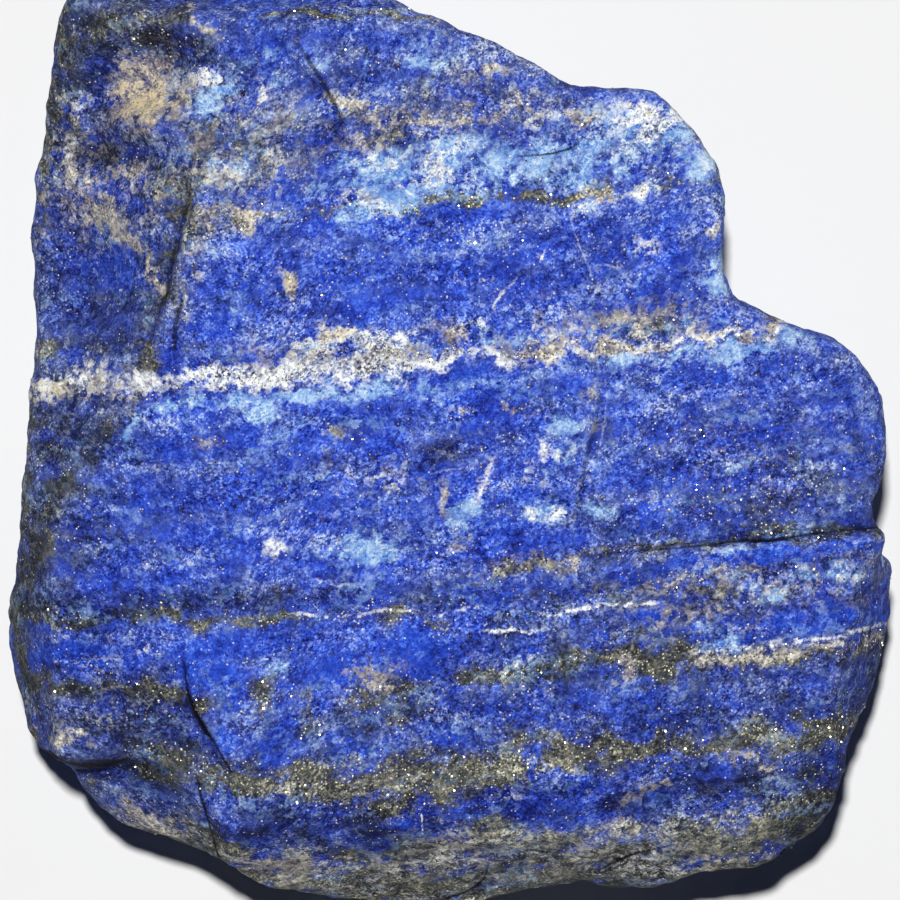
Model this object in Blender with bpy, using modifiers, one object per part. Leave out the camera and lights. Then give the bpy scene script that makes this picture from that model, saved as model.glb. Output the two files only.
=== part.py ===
"""A rough, broken block of lapis lazuli, about a hand's width across, lying on its small flat spot.

The block is one solid. Its plan outline is extruded, then squeezed between the fracture faces of its
underside and those of its top. The hollows, ledges and cracks of the stone are worked into it after that.
+Z is up, the beds of the stone run along X, and the origin is on the ground under its middle.
"""

import math

import bmesh
import bpy
import numpy as np
from mathutils import Vector, noise

MM = 0.001

# Driving dimensions
STONE_NAME = "lapis_rock"
THICKNESS = 42 * MM
ROUGH_VOXEL = 1.0 * MM
SHAPED_VOXEL = 0.85 * MM
TRIANGLES = 9000

# How sharply the faces meet each other and the outline
TOP_BLEND = 1.6 * MM
UNDER_BLEND = 2.6 * MM
TOP_RIM_RADIUS = 1.3 * MM
UNDER_RIM_REACH = 5.0 * MM
UNDER_RIM_SLOPE = 0.8

# Relief of the broken surface: size and height of each kind, the way the beds tilt, and an offset that
# picks one pattern out of all those of its kind
LUMP_SIZE = 17 * MM
LUMP_HEIGHT = 0.9 * MM
CHIP_SIZE = 5.5 * MM
CHIP_HEIGHT = 0.5 * MM
BED_THICKNESS = 3.4 * MM
BED_LENGTH = 9 * BED_THICKNESS
BED_HEIGHT = 0.45 * MM
BED_TILT = 0.11
LUMP_PICK = Vector((3.1, 7.7, 1.3))
CHIP_PICK = Vector((11.0, 2.0, 5.0))

# Colour of the stone, linear red, green and blue
BLUE = (0.045, 0.082, 0.44)
BLUE_ROUGHNESS = 0.55

# The photograph that the plan was measured from: the real size of one of its pixels, and the pixel over
# the origin
PIXEL = 0.11 * MM
MIDDLE_PIXEL = (451.5, 436.0)

# Plan outline in pixels of that photograph, clockwise from the upper left corner
OUTLINE_PIXELS = (
    (72, 0), (84, -16), (118, -29), (170, -33), (240, -31), (300, -27), (352, -18), (401, 0), (437, 20),
    (478, 40), (530, 60), (558, 79), (585, 88), (630, 89), (652, 92), (668, 102), (686, 120), (702, 141),
    (714, 165), (722, 200), (727, 245), (728, 276), (733, 293), (745, 305), (784, 320), (822, 340),
    (853, 361), (871, 380), (881, 398), (885, 430), (885, 455), (880, 498), (874, 527), (882, 533),
    (882, 557), (890, 560), (892, 590), (887, 628), (880, 662), (870, 695), (858, 724), (845, 752),
    (843, 768), (832, 800), (818, 824), (796, 846), (766, 866), (745, 870), (708, 866), (655, 883),
    (605, 884), (582, 881), (530, 890), (478, 900), (430, 905), (380, 905), (335, 899), (300, 889),
    (256, 885), (226, 870), (190, 854), (150, 841), (122, 830), (100, 811), (84, 793), (76, 775),
    (77, 762), (58, 757), (40, 746), (28, 727), (20, 690), (12, 645), (12, 612), (20, 540), (28, 470),
    (32, 400), (33, 330), (33, 230), (38, 165), (47, 115), (52, 72), (60, 25),
)

# Fracture faces of the top: x, y and z of a point in millimetres, then the slopes along X and Y
TOP_FACES = {
    "broad_face": (0.0, 0.0, 41.0, -0.04, -0.01),
    "upper_right": (10.0, 30.0, 40.6, -0.10, -0.22),
    "lower_apron": (0.0, -36.0, 41.0, -0.05, 0.42),
    "lower_lip": (0.0, -44.0, 37.6, 0.0, 1.35),
    "lower_right": (38.0, -34.0, 38.6, -0.55, 0.55),
    "right_shoulder": (44.0, 0.0, 38.8, -0.55, 0.0),
    "right_wall": (47.0, -22.0, 30.0, -2.6, 0.5),
    "flank_bevel": (-16.7, 37.0, 40.9, 0.30, -0.14),
    "lower_left_block": (-33.0, -20.0, 39.2, 0.14, 0.06),
    "left_skirt": (-44.0, -24.0, 36.4, 2.6, 0.15),
    "far_edge": (-20.0, 46.0, 38.0, 0.05, -1.3),
    "far_wall": (-30.0, 50.5, 26.5, 0.2, -2.0),
}

# The left flank has two faces that meet in a hollow line, so there the higher one counts
LEFT_FLANK = ((-30.0, 30.0, 40.4, 1.02, -0.04), (-30.4, 16.1, 41.0, 1.0, -0.4))

# Fracture faces of the underside, written the same way. The highest counts at each place
UNDER_FACES = {
    "under_right": (21.0, 0.0, 0.6, 0.62, 0.03),
    "under_front": (0.0, -24.0, 0.5, -0.04, -0.58),
    "under_lower_right": (24.0, -24.0, 2.5, 0.52, -0.52),
    "under_back": (0.0, 29.0, 0.4, 0.05, 0.42),
    "under_left": (-30.0, 0.0, 0.4, -0.52, 0.04),
    "under_upper_left": (-26.0, 26.0, 0.8, -0.30, 0.34),
    "near_right": (13.0, 0.0, -1.4, 0.13, 0.02),
    "near_front": (0.0, -13.0, -1.4, 0.01, -0.14),
    "near_back": (0.0, 14.0, -1.4, 0.01, 0.12),
    "near_left": (-19.0, 0.0, -1.4, -0.14, 0.0),
    "low_right_wall": (46.0, -16.0, 18.0, 2.3, 0.25),
    "low_corner_wall": (40.0, -40.0, 24.0, 1.6, -1.3),
    "low_notch_wall": (31.0, 22.0, 14.0, 1.7, 0.8),
    "low_front_wall": (0.0, -49.0, 18.0, 0.35, -1.9),
    "low_left_wall": (-46.0, -8.0, 11.0, -2.1, 0.1),
    "low_far_wall": (-18.0, 49.0, 11.0, -0.05, 1.6),
    "low_far_right_wall": (8.0, 39.0, 12.0, 1.0, 1.7),
}
LEAST_RIM = 6.5 * MM  # the stone is nowhere thinner than this
REST_LEVEL = -1.4 * MM  # the underside is modelled this far below the ground, then cut off flat

# The lobe that stands below the lower left block: its upper and right edges, its own face, and the
# width of the riser between the two
LOBE_EDGE = ((-52.0, -36.0), (-37.9, -35.9), (-33.5, -35.4), (-29.3, -35.9), (-27.4, -37.4), (-26.4, -40.5),
             (-25.4, -44.5), (-24.4, -49.0), (-23.0, -56.0))
LOBE_FACE = (-33.0, -36.0, 38.0, 0.9, 1.2)
LOBE_RISER = 1.8 * MM

# Ledges. Each is a line in plan with the height that one side stands proud at each point, its left side
# or, where the height is negative, its right. Then the width of the riser and how far the proud side
# takes to fall back, in millimetres
LEDGES = {
    "right_ledge": (
        ((11.8, -14.3, 0.0), (16.2, -13.9, -0.5), (20.7, -13.2, -0.8), (26.2, -12.2, -1.4), (29.4, -11.9, -1.6),
         (33.8, -11.5, -1.8), (42.6, -10.8, -2.0), (50.0, -10.4, -2.0)),
        1.3, 13.0,
    ),
    "flake_edge": (
        ((-23.4, -37.0, 0.0), (-24.8, -35.4, -1.3), (-26.2, -33.2, -1.8), (-27.3, -30.6, -1.6),
         (-28.3, -28.0, -1.2), (-29.0, -24.6, -0.8), (-28.6, -21.5, 0.0)),
        1.5, 8.0,
    ),
    "upper_scar": (
        ((-11.7, 29.5, 0.0), (-11.7, 32.8, -0.9), (-12.5, 35.2, -1.3), (-14.0, 37.6, -1.5),
         (-16.2, 40.6, -1.4), (-18.4, 43.4, -1.1), (-20.9, 45.3, 0.0)),
        1.5, 12.0,
    ),
    "fold_edge": (
        ((-33.4, 6.0, 0.0), (-31.4, 12.4, -0.9), (-29.2, 20.9, -1.1), (-27.8, 26.4, -1.1),
         (-26.4, 31.0, -1.0), (-22.6, 34.6, 0.0)),
        1.4, 5.0,
    ),
    "second_fold": (
        ((-21.0, 22.0, 0.0), (-20.3, 26.0, -0.6), (-20.9, 30.4, -0.8), (-23.3, 33.4, -0.6), (-24.6, 37.6, 0.0)),
        1.3, 5.0,
    ),
    "lower_scar": (
        ((9.7, -43.6, 0.0), (13.6, -41.7, 0.8), (17.4, -39.8, 1.0), (20.7, -38.7, 0.8), (24.0, -37.8, 0.0)),
        1.4, 7.0,
    ),
    "middle_rib": (
        ((13.2, -12.9, 0.0), (13.9, -7.0, 0.5), (14.7, -1.5, 0.6), (16.3, 2.9, 0.5), (17.0, 7.8, 0.0)),
        1.2, 8.0,
    ),
}

# Cracks. Each is a line in plan with its depth at each point, then its width, in millimetres
CRACKS = {
    "lobe_crack": (
        ((-46.0, -37.2, 3.0), (-38.0, -37.0, 3.0), (-35.6, -36.6, 2.2), (-33.0, -36.6, 1.2), (-30.0, -37.4, 0.0)),
        1.6,
    ),
    "front_crack": (((9.0, -47.2, 0.0), (16.3, -47.5, 1.4), (18.5, -46.4, 1.6), (24.5, -45.0, 0.0)), 1.5),
    "front_notch": (((0.0, -52.5, 1.8), (2.9, -50.3, 1.7), (4.0, -48.8, 0.0)), 1.6),
    "vein_crack": (((-47.0, 7.2, 1.6), (-44.7, 6.2, 1.4), (-43.0, 5.9, 1.0), (-41.4, 6.1, 0.0)), 1.5),
}

# Hollows of the top: centre, half widths and depth in millimetres, then the turn in degrees
HOLLOWS = {
    "stained_hollow": (-34.0, 39.4, 9.2, 6.2, 4.6, 22.0),
    "lower_hollow": (-36.4, 30.8, 7.4, 4.6, 3.2, -8.0),
    "middle_scar": (-0.8, -2.8, 4.6, 2.6, 0.55, 12.0),
    "flake_scar": (-17.6, -27.0, 5.4, 3.6, 0.8, 30.0),
    "side_dish": (-40.0, 17.5, 6.0, 8.0, 1.2, 12.0),
    "right_dish": (31.0, -2.0, 13.0, 8.5, 1.0, 0.0),
}

# Knobs left on the underside: centre, half widths and height in millimetres
UNDER_KNOBS = {
    "front_knob": (-14.0, -34.0, 10.0, 7.0, 2.4),
    "right_knob": (30.0, 6.0, 9.0, 11.0, 2.6),
    "back_knob": (2.0, 37.0, 12.0, 7.0, 2.2),
    "left_knob": (-37.0, 8.0, 6.0, 12.0, 2.0),
}


def clear_scene():
    """Removes every object that the scene started with."""
    for old in list(bpy.data.objects):
        bpy.data.objects.remove(old, do_unlink=True)


def soft_min(a, b, blend):
    """The lower of two surfaces, rounded over the given height where they meet."""
    near = np.maximum(blend - np.abs(a - b), 0.0) / blend
    return np.minimum(a, b) - near**2 * blend / 4


def smooth_step(values):
    """0 below 0, 1 above 1, and an even curve between."""
    share = np.clip(values, 0, 1)
    return share * share * (3 - 2 * share)


def face_height(face, x, y):
    """Height of one fracture face over the given places."""
    px, py, pz, slope_x, slope_y = face
    return pz * MM + slope_x * (x - px * MM) + slope_y * (y - py * MM)


def bump(x, y, centre_x, centre_y, half_x, half_y, turn=0.0):
    """A round bump in plan, 1 at its centre and 0 from its edge outwards."""
    c, s = math.cos(math.radians(turn)), math.sin(math.radians(turn))
    dx, dy = x - centre_x * MM, y - centre_y * MM
    out = ((c * dx + s * dy) / (half_x * MM)) ** 2 + ((c * dy - s * dx) / (half_y * MM)) ** 2
    return np.maximum(1 - out, 0) ** 1.5


def beside_line(x, y, line):
    """Distance from a broken line, positive on its left, and the line's own value nearest each place."""
    least = np.full(len(x), np.inf)
    signed, value = np.zeros(len(x)), np.zeros(len(x))
    for (ax, ay, av), (bx, by, bv) in zip(line[:-1], line[1:]):
        run = np.array((bx - ax, by - ay)) * MM
        dx, dy = x - ax * MM, y - ay * MM
        share = np.clip((dx * run[0] + dy * run[1]) / (run @ run), 0, 1)
        away = np.hypot(dx - share * run[0], dy - share * run[1])
        closer = away < least
        least = np.where(closer, away, least)
        signed = np.where(closer, np.where(run[0] * dy >= run[1] * dx, away, -away), signed)
        value = np.where(closer, (av + share * (bv - av)) * MM, value)
    return signed, value


def plain_line(points):
    """A line of plan points with no value of its own."""
    return [(x, y, 0.0) for x, y in points]


def plan_outline():
    """The outline's corners in millimetres, with Y towards the top of the photograph."""
    scale = PIXEL / MM
    return [((px - MIDDLE_PIXEL[0]) * scale, (MIDDLE_PIXEL[1] - py) * scale) for px, py in OUTLINE_PIXELS]


def top_height(x, y, rim):
    """Height of the stone's top over each place, with its hollows and the lower lobe."""
    height = np.full(len(x), THICKNESS)
    upper_flank, lower_flank = (face_height(face, x, y) for face in LEFT_FLANK)
    height = soft_min(height, -soft_min(-upper_flank, -lower_flank, TOP_BLEND), TOP_BLEND)
    for face in TOP_FACES.values():
        height = soft_min(height, face_height(face, x, y), TOP_BLEND)
    for centre_x, centre_y, half_x, half_y, depth, turn in HOLLOWS.values():
        height = height - depth * MM * bump(x, y, centre_x, centre_y, half_x, half_y, turn)
    beside, _ = beside_line(x, y, plain_line(LOBE_EDGE))
    on_lobe = smooth_step(0.5 - beside / LOBE_RISER)
    height = height + on_lobe * (np.minimum(face_height(LOBE_FACE, x, y), height) - height)
    into_rim = np.clip(TOP_RIM_RADIUS - rim, 0, TOP_RIM_RADIUS)
    return height - TOP_RIM_RADIUS + np.sqrt(TOP_RIM_RADIUS**2 - into_rim**2)


def under_height(x, y, rim):
    """Height of the stone's underside over each place, with its knobs."""
    height = np.full(len(x), REST_LEVEL)
    for face in UNDER_FACES.values():
        height = -soft_min(-height, -face_height(face, x, y), UNDER_BLEND)
    for centre_x, centre_y, half_x, half_y, proud in UNDER_KNOBS.values():
        height = height - proud * MM * bump(x, y, centre_x, centre_y, half_x, half_y)
    into_rim = np.clip(UNDER_RIM_REACH - rim, 0, UNDER_RIM_REACH)
    return height + UNDER_RIM_SLOPE * into_rim**2 / UNDER_RIM_REACH


def read_points(mesh):
    """The mesh's vertices as rows of x, y and z."""
    flat = np.empty(len(mesh.vertices) * 3)
    mesh.vertices.foreach_get("co", flat)
    return flat.reshape(-1, 3)


def read_normals(mesh):
    """The mesh's vertex normals as rows of x, y and z."""
    flat = np.empty(len(mesh.vertices) * 3)
    mesh.vertex_normals.foreach_get("vector", flat)
    return flat.reshape(-1, 3)


def move_points(mesh, points):
    """Puts the mesh's vertices at the given rows."""
    mesh.vertices.foreach_set("co", points.ravel())
    mesh.update()


def bake_modifiers(obj):
    """Turns the object's modifiers into its mesh."""
    bpy.context.view_layer.update()
    graph = bpy.context.evaluated_depsgraph_get()
    mesh = bpy.data.meshes.new_from_object(obj.evaluated_get(graph))
    obj.modifiers.clear()
    obj.data = mesh


def even_skin(obj, voxel):
    """Covers the object in an even skin of small faces."""
    skin = obj.modifiers.new("even_skin", "REMESH")
    skin.mode = "VOXEL"
    skin.voxel_size = voxel
    bake_modifiers(obj)


def make_blank():
    """The plan outline extruded to the stone's thickness, as a closed mesh standing on the ground."""
    outline = bpy.data.curves.new("outline", "CURVE")
    outline.dimensions = "2D"
    outline.fill_mode = "BOTH"
    outline.extrude = THICKNESS / 2
    ring = outline.splines.new("POLY")
    corners = plan_outline()
    ring.points.add(len(corners) - 1)
    for point, (x, y) in zip(ring.points, corners):
        point.co = (x * MM, y * MM, 0, 1)
    ring.use_cyclic_u = True
    plan = bpy.data.objects.new("outline", outline)
    bpy.context.scene.collection.objects.link(plan)
    bpy.context.view_layer.update()
    graph = bpy.context.evaluated_depsgraph_get()
    mesh = bpy.data.meshes.new_from_object(plan.evaluated_get(graph))
    bpy.data.objects.remove(plan, do_unlink=True)
    welded = bmesh.new()
    welded.from_mesh(mesh)
    bmesh.ops.remove_doubles(welded, verts=welded.verts, dist=0.01 * MM)
    bmesh.ops.translate(welded, verts=welded.verts, vec=(0, 0, THICKNESS / 2))
    bmesh.ops.recalc_face_normals(welded, faces=welded.faces)
    welded.to_mesh(mesh)
    welded.free()
    return mesh


def squeeze_between_faces(mesh):
    """Maps the blank's height onto the space between the stone's underside and its top."""
    points = read_points(mesh)
    x, y = points[:, 0], points[:, 1]
    corners = plan_outline()
    beside, _ = beside_line(x, y, plain_line(corners + corners[:1]))
    rim = np.abs(beside)
    share = np.clip(points[:, 2] / THICKNESS, 0, 1)
    top = top_height(x, y, rim)
    under = soft_min(under_height(x, y, rim), top - LEAST_RIM, UNDER_BLEND)
    points[:, 2] = under + share * (top - under)
    move_points(mesh, points)


def fracture_relief(point):
    """How far the broken surface stands out at a point: lumps, chips and the edges of the beds."""
    place = Vector(point)
    lump = noise.fractal(place / LUMP_SIZE + LUMP_PICK, 1.0, 2.0, 3)
    chip = abs(noise.noise(place / CHIP_SIZE + CHIP_PICK)) - 0.25
    across_beds = place.y - BED_TILT * place.x
    bed = noise.noise(Vector((place.x / BED_LENGTH, across_beds / BED_THICKNESS, place.z / BED_LENGTH)))
    return LUMP_HEIGHT * lump + CHIP_HEIGHT * chip + BED_HEIGHT * bed


def roughen(mesh):
    """Moves the skin out and in along its normals by the fracture relief."""
    points = read_points(mesh)
    relief = np.array([fracture_relief(point) for point in points])
    move_points(mesh, points + read_normals(mesh) * relief[:, None])


def work_ledges_and_cracks(mesh):
    """Raises the proud side of each ledge and sinks the cracks, on the faces that look up."""
    points = read_points(mesh)
    x, y = points[:, 0], points[:, 1]
    rise = np.zeros(len(points))
    for line, riser, reach in LEDGES.values():
        beside, height = beside_line(x, y, line)
        proud_side = np.where(height < 0, -beside, beside)
        falling_back = np.exp(-((np.maximum(proud_side, 0) / (reach * MM)) ** 2))
        rise += np.abs(height) * smooth_step(0.5 + proud_side / (riser * MM)) * falling_back
    for line, width in CRACKS.values():
        beside, depth = beside_line(x, y, line)
        rise -= depth * np.exp(-((beside / (width * MM / 2)) ** 2))
    facing_up = smooth_step(read_normals(mesh)[:, 2] / 0.4)
    points[:, 2] += rise * facing_up
    move_points(mesh, points)


def thin_out(obj):
    """Brings the skin down to its final number of triangles."""
    count = sum(len(face.vertices) - 2 for face in obj.data.polygons)
    thinner = obj.modifiers.new("thinner", "DECIMATE")
    thinner.ratio = TRIANGLES / count
    bake_modifiers(obj)


def centre_over_origin(mesh):
    """Moves the stone sideways, so that the middle of its plan is over the origin."""
    points = read_points(mesh)
    middle = (points.min(axis=0) + points.max(axis=0)) / 2
    points[:, :2] -= middle[:2]
    move_points(mesh, points)


def make_ground_cutter(cutters):
    """The block of ground that takes off all of the stone below it."""
    side = 4 * THICKNESS
    ground = bmesh.new()
    bmesh.ops.create_cube(ground, size=side)
    bmesh.ops.translate(ground, verts=ground.verts, vec=(0, 0, -side / 2))
    mesh = bpy.data.meshes.new("ground_cutter")
    ground.to_mesh(mesh)
    ground.free()
    cutter = bpy.data.objects.new("ground_cutter", mesh)
    cutter.hide_render = True
    cutter.display_type = "WIRE"
    cutters.objects.link(cutter)
    return cutter


def make_stone_material():
    """The plain blue of the stone."""
    material = bpy.data.materials.new("lapis_blue")
    material.use_nodes = True
    finish = material.node_tree.nodes["Principled BSDF"]
    finish.inputs["Base Color"].default_value = (*BLUE, 1)
    finish.inputs["Roughness"].default_value = BLUE_ROUGHNESS
    finish.inputs["Metallic"].default_value = 0.0
    return material


def make_collection(name):
    """A new collection in the scene."""
    collection = bpy.data.collections.new(name)
    bpy.context.scene.collection.children.link(collection)
    return collection


def main():
    """Builds the stone."""
    clear_scene()
    stone = bpy.data.objects.new(STONE_NAME, make_blank())
    make_collection("lapis_stone").objects.link(stone)
    even_skin(stone, ROUGH_VOXEL)
    squeeze_between_faces(stone.data)
    even_skin(stone, SHAPED_VOXEL)
    work_ledges_and_cracks(stone.data)
    roughen(stone.data)
    thin_out(stone)
    centre_over_origin(stone.data)
    flat_spot = stone.modifiers.new("flat_spot", "BOOLEAN")
    flat_spot.operation = "DIFFERENCE"
    flat_spot.solver = "EXACT"
    flat_spot.object = make_ground_cutter(make_collection("cutters"))
    stone.data.name = STONE_NAME
    stone.data.shade_smooth()
    stone.data.materials.clear()
    stone.data.materials.append(make_stone_material())


main()
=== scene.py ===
"""The finished look of a rough, broken block of banded lapis lazuli, lying on its small flat spot.

The block's form follows the same fracture faces, ledges, cracks and hollows as the part's own solid, with
a finer skin over them. A layout of seams and patches says which mineral is where, and where shade is
painted, the finish turns that into grain and colour, and Geometry Nodes strew the pyrite grains. Lengths
in this script are millimetres until a mesh is finished, and the finished pieces are in metres in the part's frame.
"""

import logging
import math
from dataclasses import dataclass
from enum import Enum
from typing import Sequence

import bmesh
import bpy
import numpy as np
from mathutils import Matrix, Vector, noise


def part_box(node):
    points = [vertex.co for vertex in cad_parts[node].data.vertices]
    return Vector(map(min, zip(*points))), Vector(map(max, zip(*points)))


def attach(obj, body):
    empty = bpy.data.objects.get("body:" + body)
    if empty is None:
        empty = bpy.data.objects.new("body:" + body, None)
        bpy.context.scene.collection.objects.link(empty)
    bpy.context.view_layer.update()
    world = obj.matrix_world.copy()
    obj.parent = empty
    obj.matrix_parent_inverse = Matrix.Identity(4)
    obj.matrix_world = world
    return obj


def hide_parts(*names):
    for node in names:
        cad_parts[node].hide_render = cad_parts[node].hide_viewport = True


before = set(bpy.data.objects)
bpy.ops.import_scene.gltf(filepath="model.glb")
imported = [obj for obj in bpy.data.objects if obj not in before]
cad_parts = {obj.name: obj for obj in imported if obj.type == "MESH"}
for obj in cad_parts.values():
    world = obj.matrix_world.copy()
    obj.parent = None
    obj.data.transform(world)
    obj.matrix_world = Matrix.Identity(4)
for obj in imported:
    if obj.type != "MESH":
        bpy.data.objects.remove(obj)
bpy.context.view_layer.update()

log = logging.getLogger("lapis_stone")

MM = 0.001
STONE_NODE = "lapis_rock"
BODY = "root"

Rows = np.ndarray
Line = Sequence[tuple[float, ...]]


class Mineral(Enum):
    """What a band or a patch of the stone is made of; one of them also carries painted shade. The value is the name
    of its attribute.
    """

    CALCITE = "calcite"
    SKY = "sky_blue"
    # Real navy blue, and painted shade on walls, hollow sides and ledge feet that face away from the light
    NAVY_AND_SHADE = "navy_and_shade"
    VIVID = "vivid_blue"
    GREY = "grey_rock"
    BEIGE = "beige"
    STAIN = "yellow_stain"
    PYRITE = "pyrite"
    DUST = "pale_dust"


class Attribute(Enum):
    """The other values that the mesh hands to its finish."""

    BED_PLACE = "bed_place"
    # Lighter where the surface stands out, as edge wear, and darker in hollows, as painted shade
    WEAR_AND_HOLLOW_SHADE = "edge_wear_and_hollow_shade"
    VEINLET_OFFSET = "veinlet_offset"
    VEINLET_SHARE = "veinlet_share"
    # Where the painted shade of the cracks and of the feet of the ledges lies
    CRACK_SHADE_OFFSET = "crack_shade_offset"
    CRACK_SHADE_SHARE = "crack_shade_share"


# The photograph that the plan was measured from: its real size for each pixel, and its pixel over the origin
PIXEL = 0.11
MIDDLE_PIXEL = (451.5, 436.0)

# Plan outline in pixels of that photograph, clockwise from the upper left corner
OUTLINE_PIXELS = (
    (72, 0), (84, -16), (118, -29), (170, -33), (240, -31), (300, -27), (348, -18), (392, 2), (424, 22),
    (468, 42), (526, 62), (558, 79), (585, 88), (630, 89), (652, 92), (668, 102), (686, 120), (702, 141),
    (711, 165), (716, 200), (717, 245), (721, 276), (728, 293), (739, 306), (777, 321), (818, 341),
    (853, 361), (871, 380), (881, 398), (882, 430), (879, 455), (870, 498), (870, 527), (882, 533),
    (882, 557), (890, 560), (892, 590), (887, 628), (880, 662), (870, 695), (858, 724), (845, 752),
    (843, 768), (832, 800), (818, 824), (796, 846), (766, 866), (745, 870), (708, 866), (655, 883),
    (605, 884), (582, 881), (530, 890), (478, 900), (430, 905), (380, 905), (335, 899), (300, 889),
    (256, 878), (226, 862), (190, 844), (150, 832), (122, 823), (100, 809), (84, 793), (76, 775),
    (77, 762), (58, 757), (40, 746), (28, 727), (20, 690), (12, 645), (12, 612), (20, 540), (31, 470),
    (38, 400), (34, 330), (26, 230), (35, 165), (43, 115), (52, 72), (60, 25),
)

# Fracture faces of the top: x, y and z of a point, then the slopes along X and Y
TOP_FACES = {
    "broad_face": (0.0, 0.0, 41.0, -0.04, -0.01),
    "upper_right": (10.0, 30.0, 40.6, -0.10, -0.22),
    "lower_apron": (0.0, -36.0, 41.0, -0.05, 0.42),
    "lower_lip": (0.0, -44.0, 37.6, 0.0, 1.35),
    "lower_right": (38.0, -34.0, 38.6, -0.55, 0.55),
    "right_shoulder": (44.0, 0.0, 38.8, -0.55, 0.0),
    "right_wall": (47.0, -22.0, 30.0, -2.6, 0.5),
    "flank_bevel": (-16.7, 37.0, 40.9, 0.30, -0.14),
    "lower_left_block": (-33.0, -20.0, 39.2, 0.14, 0.06),
    "left_skirt": (-44.0, -24.0, 36.4, 2.6, 0.15),
    "far_edge": (-20.0, 46.0, 38.0, 0.05, -1.3),
    "far_wall": (-30.0, 50.5, 26.5, 0.2, -2.0),
}

# The left flank has two faces that meet in a hollow line, so there the higher one counts
LEFT_FLANK = ((-30.0, 30.0, 40.4, 1.02, -0.04), (-30.4, 16.1, 41.0, 1.0, -0.4))

# Fracture faces of the underside, written the same way. The highest counts at each place
UNDER_FACES = {
    "under_right": (21.0, 0.0, 0.6, 0.62, 0.03),
    "under_front": (0.0, -24.0, 0.5, -0.04, -0.58),
    "under_lower_right": (24.0, -24.0, 2.5, 0.52, -0.52),
    "under_back": (0.0, 29.0, 0.4, 0.05, 0.42),
    "under_left": (-30.0, 0.0, 0.4, -0.52, 0.04),
    "under_upper_left": (-26.0, 26.0, 0.8, -0.30, 0.34),
    "near_right": (13.0, 0.0, -1.4, 0.13, 0.02),
    "near_front": (0.0, -13.0, -1.4, 0.01, -0.14),
    "near_back": (0.0, 14.0, -1.4, 0.01, 0.12),
    "near_left": (-19.0, 0.0, -1.4, -0.14, 0.0),
    "low_right_wall": (46.0, -16.0, 18.0, 2.3, 0.25),
    "low_corner_wall": (40.0, -40.0, 24.0, 1.6, -1.3),
    "low_notch_wall": (31.0, 22.0, 14.0, 1.7, 0.8),
    "low_front_wall": (0.0, -49.0, 18.0, 0.35, -1.9),
    "low_left_wall": (-46.0, -8.0, 11.0, -2.1, 0.1),
    "low_far_wall": (-18.0, 49.0, 11.0, -0.05, 1.6),
    "low_far_right_wall": (8.0, 39.0, 12.0, 1.0, 1.7),
}

# The lobe that stands below the lower left block: its upper and right edges, then its own face
LOBE_EDGE = ((-52.0, -36.0), (-37.9, -35.9), (-33.5, -35.4), (-29.3, -35.9), (-27.4, -37.4), (-26.4, -40.5),
             (-25.4, -44.5), (-24.4, -49.0), (-23.0, -56.0))
LOBE_FACE = (-33.0, -36.0, 38.0, 0.9, 1.2)

# Ledges. Each is a line in plan with the height that one side stands proud at each point, its left side
# or, where the height is negative, its right. Then the width of the riser and how far the proud side
# takes to fall back
LEDGES = {
    "right_ledge": (
        ((11.8, -14.3, 0.0), (16.2, -13.9, -0.5), (20.7, -13.2, -0.8), (26.2, -12.2, -1.4), (29.4, -11.9, -1.6),
         (33.8, -11.5, -1.8), (42.6, -10.8, -2.0), (50.0, -10.4, -2.0)),
        0.8, 13.0,
    ),
    "flake_edge": (
        ((-23.4, -37.0, 0.0), (-24.8, -35.4, -1.3), (-26.2, -33.2, -1.8), (-27.3, -30.6, -1.6),
         (-28.3, -28.0, -1.2), (-29.0, -24.6, -0.8), (-28.6, -21.5, 0.0)),
        0.8, 8.0,
    ),
    "upper_scar": (
        ((-11.7, 29.5, 0.0), (-11.7, 32.8, -0.9), (-12.5, 35.2, -1.3), (-14.0, 37.6, -1.5),
         (-16.2, 40.6, -1.4), (-18.4, 43.4, -1.1), (-20.9, 45.3, 0.0)),
        1.0, 12.0,
    ),
    "fold_edge": (
        ((-33.4, 6.0, 0.0), (-31.4, 12.4, -0.9), (-29.2, 20.9, -1.1), (-27.8, 26.4, -1.1),
         (-26.4, 31.0, -1.0), (-22.6, 34.6, 0.0)),
        1.0, 5.0,
    ),
    "second_fold": (
        ((-21.0, 22.0, 0.0), (-20.3, 26.0, -0.6), (-20.9, 30.4, -0.8), (-23.3, 33.4, -0.6), (-24.6, 37.6, 0.0)),
        0.9, 5.0,
    ),
    "lower_scar": (
        ((9.7, -43.6, 0.0), (13.6, -41.7, 0.8), (17.4, -39.8, 1.0), (20.7, -38.7, 0.8), (24.0, -37.8, 0.0)),
        1.0, 7.0,
    ),
    "middle_rib": (
        ((13.2, -12.9, 0.0), (13.9, -7.0, 0.5), (14.7, -1.5, 0.6), (16.3, 2.9, 0.5), (17.0, 7.8, 0.0)),
        0.9, 8.0,
    ),
}

# Cracks. Each is a line in plan with its depth at each point, then its width
CRACKS = {
    "lobe_crack": (
        ((-46.0, -37.2, 3.0), (-38.0, -37.0, 3.0), (-35.6, -36.6, 2.2), (-33.0, -36.6, 1.2), (-30.0, -37.4, 0.0)),
        1.2,
    ),
    "front_crack": (((9.0, -47.2, 0.0), (16.3, -47.5, 1.4), (18.5, -46.4, 1.6), (24.5, -45.0, 0.0)), 1.0),
    "front_notch": (((0.0, -52.5, 1.8), (2.9, -50.3, 1.7), (4.0, -48.8, 0.0)), 1.2),
    "vein_crack": (((-47.0, 7.2, 1.6), (-44.7, 6.2, 1.4), (-43.0, 5.9, 1.0), (-41.4, 6.1, 0.0)), 1.0),
}

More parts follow.
